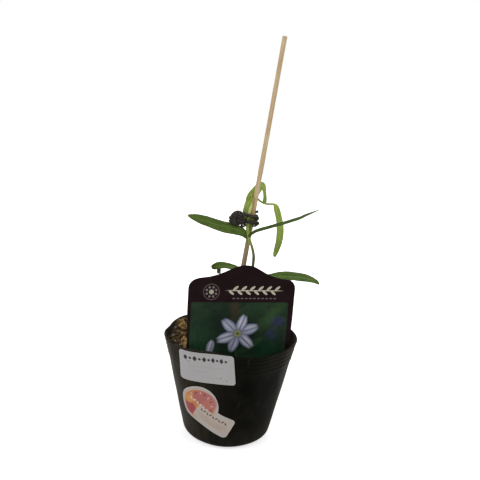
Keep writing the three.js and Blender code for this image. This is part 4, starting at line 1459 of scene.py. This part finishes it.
def tabShapes():
    # patches of orange and pink with a ring and dashes, and thin rules on the tab
    shapes = [
        spot(0, 0, 10.7, 10.7, (222, 146, 90), 0.02),
        spot(1.2, 5.4, 8.6, 5.4, (198, 118, 112), 0.12, turn=8),
        spot(5.6, 3.4, 4.4, 5.4, (206, 126, 116), 0.2, turn=-10),
        spot(-3.4, -6.2, 5.6, 3.4, (184, 84, 88), 0.2, turn=-30),
        spot(-7.2, -1, 2.8, 3.2, (232, 162, 96), 0.3, turn=10),
        spot(0, 0, 11.7, 11.7, (200, 170, 158), 0.02, hollow=0.97),
    ]
    for i in range(9):
        angle = -12 + i * 21
        colour = (128, 46, 60) if i % 2 else (240, 206, 184)
        shapes.append(spot(8.5 * cos(radians(angle)), 8.5 * sin(radians(angle)), 1.1, 0.5, colour, 0.3,
                           turn=angle, strength=0.7))
    for i in range(6):
        shapes.append(spot(-6.6 + i * 2.5, 0.9 - i * 0.25, 1.25, 0.62, (244, 222, 200), 0.2,
                           turn=50 if i % 2 else -40, strength=0.9))
    shapes.append(spot(12.4, -5.1, 12.4, 5, (213, 198, 185), 0.03, square=12.0))
    for i in range(9):
        shapes.append(spot(3.2 + i * 2.2, -2.4 + 0.4 * (i % 2), 1.1, 0.5, (96, 66, 54), 0.2,
                           turn=55 if i % 2 else -50, strength=0.9))
    for y, half in ((-5.2, 9.6), (-6.7, 9.6), (-8.2, 7.6)):
        shapes.append(spot(12.2, y, half, 0.16, (140, 92, 72), 0.4, square=6.0, strength=0.7))
    return shapes


for name, outline, spec, shapes, slotName, node in (
    ("name_paper", nameOutline(), nameSticker, nameShapes(), "white_sticker", "name_sticker"),
    ("tab_paper", tabOutline(), tabSticker, tabShapes(), "orange_sticker", "tab_sticker"),
):
    piece = flatSheet(name, outline, sticker["thickness"], sticker["lattice"])
    wrapOnWall(piece, spec)
    finishPiece(piece, [paperFinish(name + "Finish", spec["paper"], shapes)], name, slotName, node)
print("stickers made")


studio = {
    "floorSize": 6.0, "floorWhite": 0.9, "worldSeen": 1.0, "worldLight": 0.32, "aim": (0, 0, 0.09),
    # the floor's glow near and far, and from where to where it grows
    "floorGlow": (0.66, 1.1), "glowEnds": (0.12, 0.6),
    # where each soft light stands, how wide it is in metres, and its watts
    "lights": ((-0.75, -0.6, 0.9, 1, 4.2), (0.8, -0.4, 0.75, 0.9, 2.6), (0.1, 0.8, 0.9, 0.8, 3)),
}
camera = {"lens": 45, "place": (0, -0.3946, 0.2034), "pitch": 9.81, "turn": 0.36, "roll": 3.54}


def makeFloor():
    bpy.ops.mesh.primitive_plane_add(size=studio["floorSize"])
    floor = bpy.context.object
    floor.name = "floor"
    material, tree, shader = newMaterial("paleFloor")
    shader.inputs["Base Color"].default_value = (*[studio["floorWhite"]] * 3, 1)
    shader.inputs["Roughness"].default_value = 0.9
    shader.inputs["Specular IOR Level"].default_value = 0.1
    shader.inputs["Emission Color"].default_value = (1, 1, 1, 1)
    # white to the eye far off, so that only the soft shadow round the pot is left
    away = vectorNode(tree, "LENGTH", objectPlace(tree)).outputs["Value"]
    glow = rampNode(tree, away, *studio["floorGlow"], *studio["glowEnds"])
    seen = addNode(tree, "ShaderNodeLightPath").outputs["Is Camera Ray"]
    tree.links.new(mathNode(tree, "MULTIPLY", seen, glow), shader.inputs["Emission Strength"])
    floor.data.materials.append(material)


def makeWorld():
    world = bpy.data.worlds.new("studio")
    scene.world = world
    world.use_nodes = True
    tree = world.node_tree
    background = tree.nodes["Background"]
    background.inputs["Color"].default_value = (1, 1, 1, 1)
    seen = addNode(tree, "ShaderNodeLightPath").outputs["Is Camera Ray"]
    strength = rampNode(tree, seen, studio["worldLight"], studio["worldSeen"], smooth=False)
    tree.links.new(strength, background.inputs["Strength"])


def makeLights():
    for i, (x, y, z, size, watts) in enumerate(studio["lights"]):
        bpy.ops.object.light_add(type="AREA", location=(x, y, z))
        light = bpy.context.object
        light.name = f"softLight{i + 1}"
        light.data.shape = "DISK"
        light.data.size = size
        light.data.energy = watts
        light.rotation_euler = (Vector(studio["aim"]) - light.location).to_track_quat("-Z", "Y").to_euler()


def makeCamera():
    pitch, turn, roll = [radians(camera[k]) for k in ("pitch", "turn", "roll")]
    right = Vector((cos(turn), -sin(turn), 0))
    ahead = Vector((sin(turn) * cos(pitch), cos(turn) * cos(pitch), -sin(pitch)))
    up = right.cross(ahead)
    axisX = right * cos(roll) + up * sin(roll)
    axisY = up * cos(roll) - right * sin(roll)
    bpy.ops.object.camera_add()
    made = bpy.context.object
    made.matrix_world = Matrix((axisX, axisY, -ahead)).transposed().to_4x4()
    made.location = camera["place"]
    made.data.lens = camera["lens"]
    made.data.clip_start = 0.01
    scene.camera = made


makeFloor()
makeWorld()
makeLights()
makeCamera()
scene.view_settings.view_transform = "Standard"
print("studio made")
